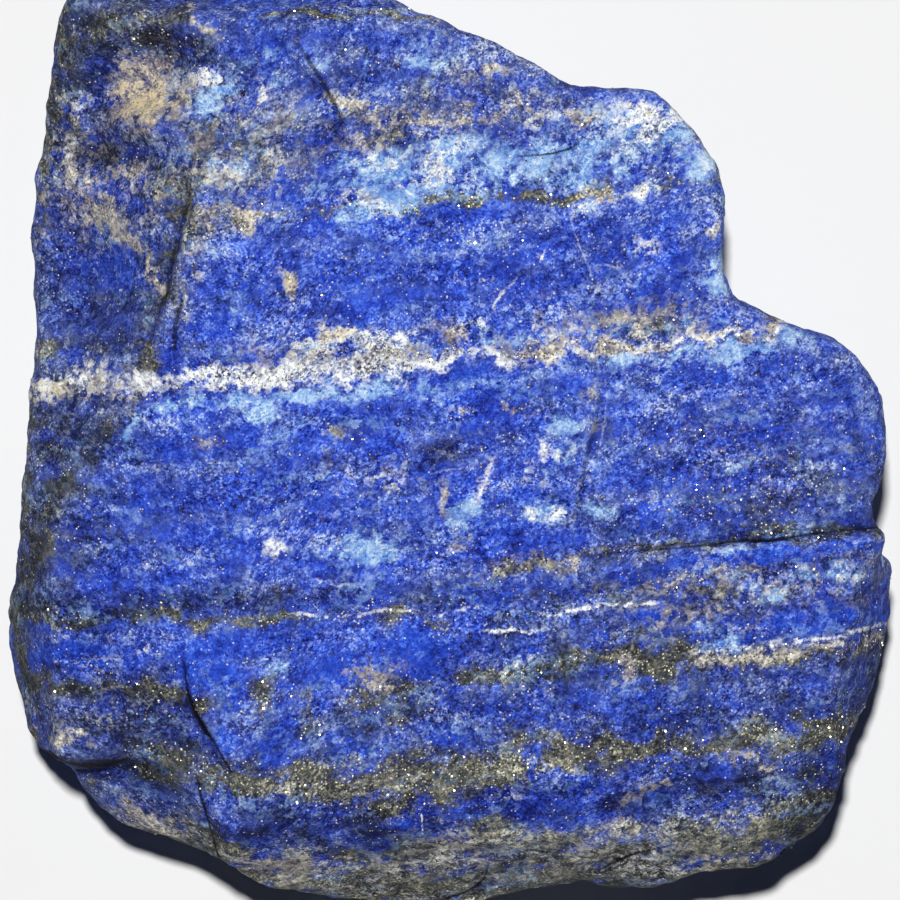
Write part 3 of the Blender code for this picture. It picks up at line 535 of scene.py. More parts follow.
# Patches of the layout: centre, half widths, turn in degrees from X towards Y, and share
PATCHES = {
    Mineral.SKY: (
        (565, 425, 12, 7, 0, 0.5), (598, 508, 17, 8, 0, 0.55), (362, 548, 22, 9, 4, 0.3), (467, 511, 12, 8, 0, 0.2),
        (470, 170, 66, 28, 8, 0.36), (400, 190, 60, 20, -4, 0.3), (640, 150, 60, 34, 10, 0.25),
        (560, 150, 40, 26, 5, 0.3), (230, 150, 40, 40, 0, 0.25), (165, 85, 36, 14, 15, 0.35),
          
          
          
          (378, 161, 27, 13, 5, 0.75),
        (452, 152, 22, 12, 5, 0.8), (436, 178, 18, 15, 0, 1), (450, 190, 16, 7, 5, 0.9),
        (370, 198, 36, 12, -5, 0.95), (356, 223, 18, 8, 8, 0.7), (512, 172, 28, 8, 10, 0.8),
        (540, 159, 14, 5, 8, 0.7), (500, 158, 15, 10, 0, 0.4), (588, 175, 14, 10, 20, 0.6),
        (587, 208, 16, 5, 10, 0.7), (652, 128, 34, 12, 3, 0.8), (662, 136, 15, 7, 5, 0.95),
        (698, 166, 17, 13, 25, 1), (616, 168, 14, 10, 10, 0.8), (640, 192, 16, 6, 10, 0.5),
        (717, 270, 12, 14, -10, 0.95), (722, 294, 8, 8, 0, 0.7), (413, 67, 14, 5, 8, 0.6),
        (442, 73, 10, 8, 0, 0.7), (369, 78, 8, 6, 0, 0.6), (325, 76, 8, 7, 20, 0.6),
        (207, 109, 14, 14, 30, 0.8), (226, 92, 9, 9, 0, 0.7), (190, 122, 12, 8, 20, 0.4),
        (275, 65, 8, 16, 0, 0.35), (230, 180, 26, 12, 0, 0.45), (206, 424, 15, 5, 5, 0.5),
        (139, 421, 16, 4, 61, 0.8), (360, 549, 27, 11, -5, 0.95), (376, 553, 12, 8, 0, 0.6),
        (457, 513, 24, 9, 10, 0.7), (468, 509, 9, 5, 0, 0.9), (531, 514, 8, 8, 0, 0.7),
        (552, 512, 10, 10, 0, 0.75), (564, 454, 13, 5, 8, 0.85), (559, 424, 12, 12, 20, 0.5),
        (487, 321, 6, 7, 0, 0.7), (730, 465, 12, 4, 8, 0.4), (773, 598, 9, 7, 0, 0.85),
        (740, 582, 9, 5, 5, 0.7), (697, 618, 7, 6, 0, 0.5), (720, 638, 9, 6, 10, 0.65),
        (733, 549, 14, 3, 5, 0.6), (703, 567, 5, 4, 0, 0.6), (832, 570, 14, 7, 3, 0.7),
        (801, 570, 11, 9, 0, 0.75), (275, 668, 12, 8, 20, 0.5), (385, 662, 8, 8, 0, 0.5),
        (337, 437, 16, 6, 8, 0.5), (660, 145, 20, 8, 0, 0.4), (560, 70, 20, 8, 0, 0.2),
    ),
    Mineral.CALCITE: (
        (196, 285, 34, 5, 68, 0.4), (566, 452, 13, 4, 5, 0.5), (530, 513, 7, 5, 0, 0.4), (555, 514, 8, 8, 0, 0.4),
        (398, 482, 14, 4, 5, 0.4), (344, 434, 11, 5, 0, 0.5),
        (430, 170, 50, 22, 0, 0.28), (650, 135, 50, 22, 5, 0.35), (350, 350, 90, 20, 4, 0.15),
        (400, 862, 140, 16, 0, 0.2), (650, 850, 160, 20, -4, 0.2),
          
          
          
          
        (436, 178, 15, 12, 0, 0.7), (455, 152, 20, 10, 5, 0.45), (370, 199, 28, 9, -5, 0.6),
        (378, 161, 22, 9, 5, 0.3), (261, 88, 18, 9, -10, 0.5), (198, 87, 16, 9, 25, 0.65),
        (260, 98, 4, 3, 0, 1), (652, 125, 28, 9, 0, 0.5), (634, 108, 17, 7, 0, 0.7),
        (678, 118, 8, 5, 0, 0.65), (548, 103, 10, 5, 0, 0.6), (545, 124, 24, 4, 3, 0.4),
        (540, 158, 13, 3, 8, 0.5), (642, 190, 14, 5, 10, 0.6), (698, 166, 10, 8, 20, 0.35),
        (714, 232, 8, 7, 0, 0.6), (200, 244, 15, 6, 65, 0.6), (184, 288, 12, 5, 65, 0.5),
        (276, 150, 9, 18, 0, 0.4), (232, 178, 22, 9, 0, 0.35), (650, 243, 44, 3, 5, 0.35),
        (542, 253, 4, 13, 0, 0.5), (482, 280, 18, 3, 8, 0.45), (516, 288, 10, 3, 40, 0.45),
        (365, 334, 32, 6, 0, 0.5), (345, 348, 48, 9, 5, 0.3), (337, 332, 12, 6, 0, 0.9),
        (450, 333, 13, 6, 0, 0.6), (544, 320, 18, 5, 5, 0.3), (486, 320, 5, 6, 0, 0.6),
        (278, 549, 10, 5, 0, 0.7), (394, 479, 21, 6, 12, 0.35), (437, 503, 19, 5, 85, 0.5),
        (486, 480, 25, 4, 67, 0.45), (543, 450, 17, 4, 67, 0.45), (534, 481, 8, 9, 0, 0.4),
        (531, 514, 6, 6, 0, 0.4), (552, 512, 8, 8, 0, 0.6), (564, 452, 10, 3, 8, 0.4),
        (291, 283, 17, 5, -65, 0.7), (740, 582, 9, 4, 5, 0.5), (802, 570, 10, 8, 0, 0.5),
        (832, 570, 12, 6, 0, 0.45), (152, 649, 7, 3, 0, 0.6), (60, 634, 7, 4, 0, 0.5),
        (587, 208, 14, 4, 10, 0.5), (76, 112, 9, 8, 0, 0.35), (72, 155, 9, 9, 0, 0.35),
        (510, 793, 20, 5, 10, 0.3), (455, 838, 24, 16, -35, 0.3),
    ),
    Mineral.BEIGE: (
        (92, 385, 52, 6, 0, 0.25), (207, 225, 60, 8, 75, 0.35), (341, 493, 10, 3, 0, 0.45), (466, 416, 11, 3, 3, 0.55), (518, 410, 11, 3, 5, 0.55),
        (434, 498, 12, 3, 75, 0.2), (489, 474, 20, 3, 68, 0.25), (400, 478, 16, 4, 5, 0.3),
        (350, 868, 150, 16, 0, 0.3), (650, 852, 160, 20, -4, 0.3), (560, 345, 60, 14, 3, 0.3), (330, 356, 110, 16, 4, 0.3), (90, 385, 60, 16, 0, 0.4),
        (420, 120, 150, 40, 8, 0.2), (230, 170, 60, 60, 0, 0.2), (110, 190, 80, 60, 0, 0.2), (620, 320, 110, 26, 3, 0.25), (740, 590, 130, 34, 8, 0.25),
        (760, 440, 110, 70, 8, 0.08), (380, 500, 180, 70, 8, 0.08), (150, 95, 34, 22, 10, 0.5), (60, 170, 34, 70, 0, 0.15), (363, 141, 14, 6, -10, 0.8), (493, 73, 12, 5, 0, 0.6),
        (465, 108, 10, 5, 0, 0.5), (252, 219, 16, 12, 10, 0.8), (292, 283, 16, 6, -62, 0.9),
        (116, 174, 28, 7, -3, 0.6), (105, 207, 28, 9, -12, 0.55), (118, 222, 14, 7, -20, 0.4),
        (72, 158, 9, 9, 0, 0.5), (75, 112, 10, 8, 0, 0.4), (153, 66, 28, 12, 0, 0.6),
        (208, 137, 26, 6, 52, 0.6), (244, 110, 10, 8, 0, 0.4), (602, 195, 14, 6, 8, 0.8),
        (634, 108, 16, 6, 0, 0.6), (714, 232, 8, 7, 0, 0.6), (331, 336, 12, 6, 0, 0.6),
        (450, 333, 12, 6, 0, 0.8), (408, 358, 22, 10, 5, 0.45), (555, 350, 18, 5, 5, 0.5),
        (630, 348, 32, 6, 3, 0.55), (698, 339, 18, 5, 5, 0.6), (741, 335, 18, 4, 5, 0.6),
        (775, 323, 16, 4, -5, 0.7), (523, 408, 16, 4, 15, 0.5), (465, 416, 13, 3, 3, 0.5),
        (336, 436, 13, 5, 5, 0.6), (216, 440, 14, 7, -5, 0.4), (588, 407, 28, 7, 98, 0.4),
        (583, 470, 26, 6, 97, 0.3), (437, 503, 20, 5, 85, 0.5), (460, 543, 10, 6, 10, 0.5),
        (570, 557, 8, 6, 0, 0.7), (520, 565, 50, 8, 8, 0.3), (683, 578, 17, 4, 10, 0.8),
        (66, 738, 22, 8, -8, 0.75), (85, 742, 8, 5, 0, 0.5), (372, 672, 30, 12, 12, 0.55),
        (623, 668, 9, 12, 0, 0.55), (664, 624, 16, 3, 63, 0.5), (143, 823, 28, 11, -22, 0.75),
        (175, 832, 18, 13, -20, 0.5), (265, 862, 30, 10, -5, 0.4), (455, 835, 26, 15, -35, 0.5),
        (621, 824, 18, 5, 0, 0.5), (758, 811, 7, 5, 0, 0.6), (385, 778, 24, 10, 10, 0.35),
        (620, 320, 30, 8, 5, 0.3),
    ),
    Mineral.STAIN: (
        (150, 88, 34, 26, 20, 0.42),
        (146, 106, 20, 17, 0, 0.8), (154, 98, 28, 15, 15, 0.4), (136, 94, 14, 13, 0, 0.4),
        (50, 388, 24, 9, 0, 0.4), (337, 332, 12, 6, 0, 0.6), (95, 383, 32, 7, 0, 0.3),
        (450, 333, 10, 5, 0, 0.4), (258, 219, 10, 6, 0, 0.4), (290, 285, 12, 4, -65, 0.4),
    ),
    Mineral.GREY: (
        (450, 868, 280, 26, 0, 0.45), (400, 776, 170, 16, 2, 0.25), (660, 744, 180, 12, 3, 0.2),
        (420, 120, 160, 45, 8, 0.3), (130, 40, 110, 40, 0, 0.25), (230, 160, 60, 60, 0, 0.3),
        (660, 640, 120, 40, 8, 0.25), (110, 720, 90, 45, 0, 0.25), (60, 540, 50, 90, 0, 0.25),
        (760, 780, 90, 50, 15, 0.3), (389, 135, 19, 10, 5, 0.75), (45, 350, 14, 18, 0, 0.5),
        (90, 345, 50, 8, -5, 0.3), (640, 322, 40, 14, 3, 0.55), (777, 323, 18, 5, -5, 0.7),
        (110, 32, 45, 10, 12, 0.6), (165, 30, 22, 10, 25, 0.35), (100, 14, 44, 12, 0, 0.35),
        (72, 75, 12, 34, 5, 0.5), (64, 130, 14, 34, 5, 0.5), (108, 150, 34, 10, -10, 0.5),
        (165, 190, 24, 30, 0, 0.5), (70, 430, 34, 12, 60, 0.35), (60, 490, 34, 12, 64, 0.4),
        (45, 545, 36, 10, 72, 0.45), (105, 440, 34, 10, 60, 0.4), (457, 457, 25, 11, 3, 0.35),
        (615, 592, 16, 10, 0, 0.45), (560, 592, 50, 6, 8, 0.4), (720, 592, 36, 5, 3, 0.55),
        (170, 752, 42, 13, 0, 0.75), (172, 768, 30, 10, -5, 0.7), (90, 784, 14, 18, -10, 0.4),
        (208, 700, 16, 8, 0, 0.6), (264, 690, 22, 17, 20, 0.55), (309, 711, 12, 20, 0, 0.6),
        (400, 720, 18, 9, 0, 0.5), (385, 692, 36, 15, 8, 0.6), (650, 660, 32, 18, -10, 0.5),
        (290, 590, 60, 8, 5, 0.25), (190, 840, 34, 20, -15, 0.6), (600, 412, 10, 30, 5, 0.25),
        (330, 465, 26, 12, 10, 0.3), (240, 480, 16, 20, 10, 0.25), (800, 800, 34, 18, 20, 0.5),
        (500, 830, 26, 16, -10, 0.6),
    ),
    # Real navy patches, and painted shade on the hollow walls and the right wall that face away from the light
    Mineral.NAVY_AND_SHADE: (
        (330, 822, 110, 16, 0, 0.35),
        (320, 822, 120, 24, 0, 0.65), (380, 490, 190, 80, 5, 0.08),
        (110, 710, 95, 52, 0, 0.45), (120, 30, 110, 40, 0, 0.22), (60, 100, 30, 90, 0, 0.2),
        (110, 230, 90, 110, 0, 0.05), (80, 480, 80, 110, 0, 0.3), (60, 600, 60, 40, 0, 0.3),
        (150, 800, 90, 45, 10, 0.12), (860, 690, 40, 60, 20, 0.4), (840, 770, 40, 50, 20, 0.35),
        (250, 600, 260, 16, 2, 0.35), (350, 20, 130, 26, 12, 0.25), (690, 705, 50, 20, 10, 0.4),
        (540, 640, 60, 16, 5, 0.3), (860, 400, 40, 60, 0, 0.25), (700, 770, 120, 20, 5, 0.25),
        (115, 140, 24, 13, -10, 0.5), (100, 70, 12, 18, 0, 0.6), (515, 179, 34, 9, 6, 0.6),
        (150, 38, 52, 9, -10, 0.4), (457, 455, 24, 10, 3, 0.2), (425, 460, 16, 5, 58, 0.3),
        (470, 593, 14, 6, 0, 0.5), (70, 460, 40, 80, 0, 0.1), (160, 700, 40, 12, 0, 0.3),
        (90, 700, 50, 10, 0, 0.25), (480, 440, 60, 14, 5, 0.25), (395, 500, 24, 14, 20, 0.3),
        (560, 500, 40, 14, 10, 0.15), (350, 120, 14, 10, 0, 0.3), (780, 785, 40, 16, 12, 0.2),
    ),
    Mineral.VIVID: (
        (272, 57, 14, 20, 0, 0.8), (278, 190, 22, 22, 0, 0.85), (107, 187, 38, 12, -8, 0.75),
        (100, 265, 62, 32, 0, 0.5), (230, 440, 60, 20, 5, 0.35), (400, 402, 60, 10, 5, 0.5),
        (470, 378, 40, 8, 6, 0.6), (700, 374, 50, 10, 5, 0.5), (480, 530, 50, 9, 12, 0.65),
        (214, 668, 36, 26, 0, 1), (228, 740, 16, 20, 0, 0.8), (275, 747, 28, 14, 0, 0.8),
        (338, 665, 28, 17, 0, 0.85), (420, 655, 36, 21, 5, 0.9), (512, 652, 30, 9, 5, 0.8),
        (450, 730, 36, 12, 5, 0.75), (350, 750, 28, 9, 5, 0.75), (620, 700, 60, 18, 5, 0.4),
        (412, 821, 11, 9, 0, 0.8), (425, 226, 32, 10, 5, 0.5), (660, 215, 30, 10, 5, 0.4),
        (320, 590, 60, 10, 5, 0.3), (800, 690, 60, 16, 8, 0.35), (820, 775, 24, 14, 20, 0.5),
        (540, 810, 34, 12, 10, 0.4),
    ),
    Mineral.DUST: (
        (195, 270, 90, 16, 72, 0.4),
        (320, 825, 110, 20, 0, 0.45), (450, 80, 170, 50, 15, 0.15),
        (760, 470, 150, 110, 5, 0.24), (630, 260, 110, 60, 5, 0.15), (400, 90, 190, 70, 10, 0.5),
        (120, 60, 100, 80, 0, 0.6), (110, 200, 80, 80, 0, 0.6), (100, 310, 70, 50, 0, 0.35),
        (80, 480, 75, 100, 0, 0.3), (50, 560, 50, 70, 0, 0.4), (110, 710, 95, 52, 0, 0.75),
        (150, 800, 90, 40, 10, 0.3), (740, 790, 130, 40, 15, 0.45), (780, 680, 110, 40, 5, 0.25),
        (250, 600, 260, 15, 2, 0.5), (640, 645, 90, 24, 10, 0.3), (230, 160, 60, 60, 0, 0.5),
        (300, 300, 70, 40, 0, 0.15), (600, 150, 90, 50, -10, 0.35), (455, 455, 40, 20, 5, 0.4),
        (590, 450, 14, 90, 0, 0.35), (650, 330, 90, 24, 3, 0.4), (400, 720, 70, 40, 0, 0.25),
        (60, 420, 50, 60, 0, 0.4), (700, 400, 60, 12, 5, 0.2), (560, 560, 110, 10, 8, 0.4),
    ),
    Mineral.PYRITE: (
        (252, 219, 15, 10, 0, 0.9), (337, 436, 13, 5, 5, 0.9), (465, 416, 13, 3, 3, 0.9),
        (523, 408, 16, 4, 15, 0.8), (652, 393, 10, 3, 8, 1), (678, 378, 5, 3, 0, 0.8),
        (734, 379, 6, 3, 0, 0.8), (732, 394, 5, 3, 0, 0.8), (766, 394, 5, 3, 0, 0.7),
        (810, 369, 7, 4, 0, 0.9), (660, 426, 10, 3, 5, 0.9), (686, 424, 8, 4, 10, 1),
        (749, 413, 7, 3, 8, 0.9), (765, 412, 6, 4, 0, 0.9), (646, 453, 10, 3, 5, 0.7),
        (648, 473, 11, 4, 5, 0.8), (641, 499, 6, 3, 0, 1), (742, 508, 6, 4, 0, 0.8),
        (680, 519, 7, 3, 8, 0.8), (807, 505, 7, 4, 0, 0.8), (827, 384, 5, 4, 0, 0.7),
        (700, 440, 60, 16, 5, 0.3), (780, 480, 60, 30, 5, 0.3), (700, 500, 70, 16, 5, 0.35),
        (216, 441, 14, 7, -5, 0.5), (570, 560, 10, 6, 0, 0.5), (493, 73, 10, 4, 0, 0.6),
        (360, 64, 50, 4, 3, 0.3), (150, 36, 36, 8, -10, 0.4), (480, 115, 60, 10, 5, 0.3),
        (585, 120, 20, 8, 0, 0.4), (385, 684, 34, 16, 8, 0.7), (264, 692, 24, 16, 20, 0.6),
        (309, 711, 12, 20, 0, 0.6), (208, 700, 16, 9, 0, 0.6), (400, 720, 20, 10, 0, 0.6),
        (330, 300, 60, 30, 5, 0.15), (520, 230, 80, 16, 5, 0.25), (640, 322, 40, 14, 3, 0.4),
        (790, 790, 50, 20, 15, 0.3), (690, 735, 50, 10, 0, 0.5), (165, 686, 30, 10, 0, 0.4),
        (75, 685, 20, 8, 0, 0.4), (170, 755, 40, 12, 0, 0.4),
    ),
}

# White veinlets: x, y, half width and share
VEINLETS = {
    "left_vein": (
        (292, 612, 0.1, 0.4), (305, 612, 0.2, 0.9), (325, 615, 0.2, 0.9), (345, 616, 0.22, 1),
        (360, 614, 0.18, 0.7), (370, 611, 0.15, 0.4), (385, 608, 0.15, 0.6), (407, 609, 0.15, 0.5),
        (415, 610, 0.1, 0),
    ),
    "middle_bit": (
        (430, 614, 0.1, 0), (433, 614, 0.16, 0.8), (449, 613, 0.16, 0.8), (456, 609, 0.15, 0.6),
        (470, 606, 0.17, 0.9), (480, 605, 0.16, 0.8), (484, 604, 0.1, 0),
    ),
    "lower_bit": (
        (482, 629, 0.1, 0), (486, 629, 0.18, 1), (500, 630, 0.2, 1), (515, 628, 0.18, 1),
        (528, 631, 0.18, 0.9), (545, 625, 0.13, 0.6), (560, 623, 0.1, 0),
    ),
    "right_bit": (
        (533, 611, 0.1, 0), (540, 613, 0.18, 0.8), (552, 615, 0.17, 0.9), (570, 609, 0.17, 0.9),
        (585, 606, 0.2, 1), (600, 604, 0.2, 1), (625, 603, 0.2, 1), (648, 602, 0.18, 0.9),
        (660, 600, 0.1, 0),
    ),
    "right_vein": (
        (676, 653, 0.1, 0), (690, 652, 0.16, 0.6), (715, 649, 0.2, 0.7), (733, 646, 0.26, 0.9),
        (750, 647, 0.28, 1), (765, 643, 0.3, 1), (780, 640, 0.36, 1), (797, 640, 0.32, 1),
        (812, 638, 0.26, 1), (830, 636, 0.24, 0.9), (842, 633, 0.24, 1), (855, 629, 0.2, 1),
        (868, 627, 0.2, 0.8), (900, 620, 0.15, 0.6), (940, 612, 0.15, 0.6),
    ),
    "faint_left": (
        (312, 577, 0.1, 0), (320, 579, 0.12, 0.5), (340, 584, 0.14, 0.6), (363, 582, 0.1, 0),
    ),
    "scratch": (
        (422, 806, 0.07, 0), (422, 809, 0.09, 1), (423, 831, 0.09, 1), (423, 834, 0.07, 0),
    ),
    "scar_edge": (
        (428, 474, 0.1, 0), (440, 471, 0.1, 0.4), (460, 468, 0.1, 0.45), (480, 466, 0.1, 0),
    ),
    "slant_left": (
        (497, 452, 0.1, 0), (492, 462, 0.12, 0.5), (486, 480, 0.12, 0.5), (474, 506, 0.1, 0),
    ),
    "slant_middle": (
        (551, 430, 0.1, 0), (547, 440, 0.12, 0.5), (540, 455, 0.12, 0.5), (536, 468, 0.1, 0),
    ),
    "slant_right": (
        (592, 458, 0.1, 0), (588, 464, 0.13, 0.7), (580, 480, 0.13, 0.6), (574, 496, 0.1, 0),
    ),
    "cloud_streak": (
        (393, 183, 0.1, 0), (400, 188, 0.14, 0.9), (412, 197, 0.14, 0.9), (420, 201, 0.1, 0),
    ),
    "branch_left": (
        (497, 318, 0.08, 0), (492, 308, 0.12, 0.6), (500, 296, 0.13, 0.7), (512, 284, 0.13, 0.7), (520, 276, 0.08, 0),
    ),
    "branch_middle": (
        (538, 246, 0.1, 0), (543, 252, 0.16, 0.9), (541, 262, 0.18, 1), (545, 268, 0.1, 0),
    ),
    "branch_right": (
        (592, 270, 0.08, 0), (604, 266, 0.1, 0.5), (618, 270, 0.1, 0.5), (626, 284, 0.1, 0.5), (630, 296, 0.08, 0),
    ),
    "long_thread": (
        (566, 210, 0.08, 0), (572, 228, 0.1, 0.3), (578, 248, 0.1, 0.35), (589, 272, 0.1, 0.3),
        (593, 296, 0.08, 0),
    ),
    "rib_thread": (
        (602, 372, 0.08, 0), (606, 396, 0.1, 0.35), (603, 424, 0.1, 0.35), (598, 450, 0.1, 0.3),
        (594, 476, 0.08, 0),
    ),
    "upper_right_slant": (
        (617, 260, 0.08, 0), (620, 266, 0.1, 0.6), (630, 290, 0.1, 0.6), (633, 297, 0.08, 0),
    ),
}

# Painted shade: dark lines in the cracks and under the ledges, written the same way
SHADE_LINES = {
    "flake_edge": (
        (183, 650, 0.06, 0), (185, 658, 0.1, 0.6), (188, 675, 0.12, 0.8), (190, 690, 0.15, 0.9),
        (195, 706, 0.2, 1), (203, 720, 0.3, 1), (209, 731, 0.28, 1), (214, 736, 0.14, 0.9),
        (221, 748, 0.11, 0.8), (229, 762, 0.14, 0.9), (233, 769, 0.16, 0.9), (236, 772, 0.06, 0),
    ),
    "lower_flake_edge": (
        (198, 768, 0.05, 0), (200, 780, 0.09, 0.7), (203, 796, 0.18, 0.9), (208, 812, 0.14, 1),
        (212, 828, 0.1, 0.9), (217, 846, 0.13, 0.9), (222, 862, 0.16, 1), (228, 880, 0.2, 1),
    ),
    "vein_crack": (
        (38, 371, 0.1, 0.3), (44, 373, 0.16, 0.9), (50, 378, 0.24, 1), (58, 381, 0.2, 1),
        (66, 381, 0.08, 0),
    ),
    "lobe_crack": (
        (50, 756, 0.4, 1), (72, 764, 0.4, 1), (90, 765, 0.4, 1), (107, 762, 0.34, 1), (118, 759, 0.26, 1),
        (128, 757, 0.2, 1), (138, 756, 0.08, 0),
    ),
    "ledge": (
        (560, 558, 0.06, 0), (600, 553, 0.08, 0.4), (640, 550, 0.1, 0.5), (696, 545, 0.13, 0.7),
        (740, 540, 0.18, 0.9), (768, 540, 0.2, 1), (810, 533, 0.14, 0.8), (850, 529, 0.12, 0.7),
        (892, 526, 0.12, 0.7),
    ),
    "front_crack": (
        (590, 873, 0.1, 0), (600, 867, 0.16, 0.8), (620, 857, 0.2, 1), (638, 850, 0.16, 0.9),
        (660, 845, 0.12, 0.7), (680, 841, 0.08, 0),
    ),
    "front_notch": (
        (488, 858, 0.08, 0), (486, 866, 0.12, 0.6), (484, 877, 0.14, 0.8), (476, 887, 0.16, 1),
        (464, 894, 0.14, 0.9), (440, 902, 0.14, 0.9),
    ),
    "cloud_crack": (
        (510, 160, 0.06, 0), (530, 158, 0.1, 0.7), (549, 156, 0.12, 0.9), (568, 151, 0.12, 0.9),
        (576, 146, 0.1, 0.7), (583, 140, 0.06, 0),
    ),
    "upper_crack": (
        (284, 36, 0.1, 0), (300, 50, 0.22, 0.5), (311, 65, 0.26, 0.7), (325, 88, 0.28, 0.8),
        (336, 107, 0.24, 0.7), (342, 122, 0.2, 0.6), (344, 136, 0.1, 0),
    ),
    "fold_line": (
        (232, 110, 0.1, 0), (215, 128, 0.2, 0.3), (200, 150, 0.24, 0.35), (192, 172, 0.24, 0.4),
        (190, 200, 0.24, 0.4), (184, 230, 0.24, 0.4), (176, 260, 0.24, 0.35), (169, 290, 0.24, 0.35),
        (161, 320, 0.22, 0.3), (148, 352, 0.2, 0.25), (138, 376, 0.1, 0),
    ),
    "second_fold_line": (
        (190, 285, 0.1, 0), (184, 305, 0.24, 0.6), (178, 325, 0.26, 0.7), (177, 345, 0.24, 0.7),
        (178, 366, 0.1, 0),
    ),
    "scar_rim": (
        (414, 474, 0.1, 0), (420, 468, 0.16, 0.25), (426, 455, 0.2, 0.3), (436, 446, 0.18, 0.25),
        (452, 443, 0.16, 0.2), (476, 442, 0.1, 0),
    ),
    "rib": (
        (602, 372, 0.1, 0), (598, 400, 0.2, 0.4), (592, 430, 0.2, 0.4), (585, 460, 0.2, 0.3),
        (578, 500, 0.2, 0.35), (575, 530, 0.1, 0),
    ),
}
HAIRLINE_DEPTH = 0.35
HAIRLINE_SPREAD = 0.25

# Bands of the walls and the underside: length and thickness of the pattern, threshold and gain
BURIED_BANDS = {
    Mineral.CALCITE: (26.0, 2.6, 0.42, 2.6),
    Mineral.SKY: (18.0, 3.4, 0.20, 2.2),
    Mineral.NAVY_AND_SHADE: (30.0, 5.0, 0.05, 1.6),
    Mineral.VIVID: (26.0, 5.0, 0.0, 2.4),
    Mineral.GREY: (34.0, 4.2, 0.10, 2.4),
    Mineral.BEIGE: (16.0, 2.4, 0.30, 2.2),
    Mineral.PYRITE: (34.0, 3.0, 0.12, 1.8),
}


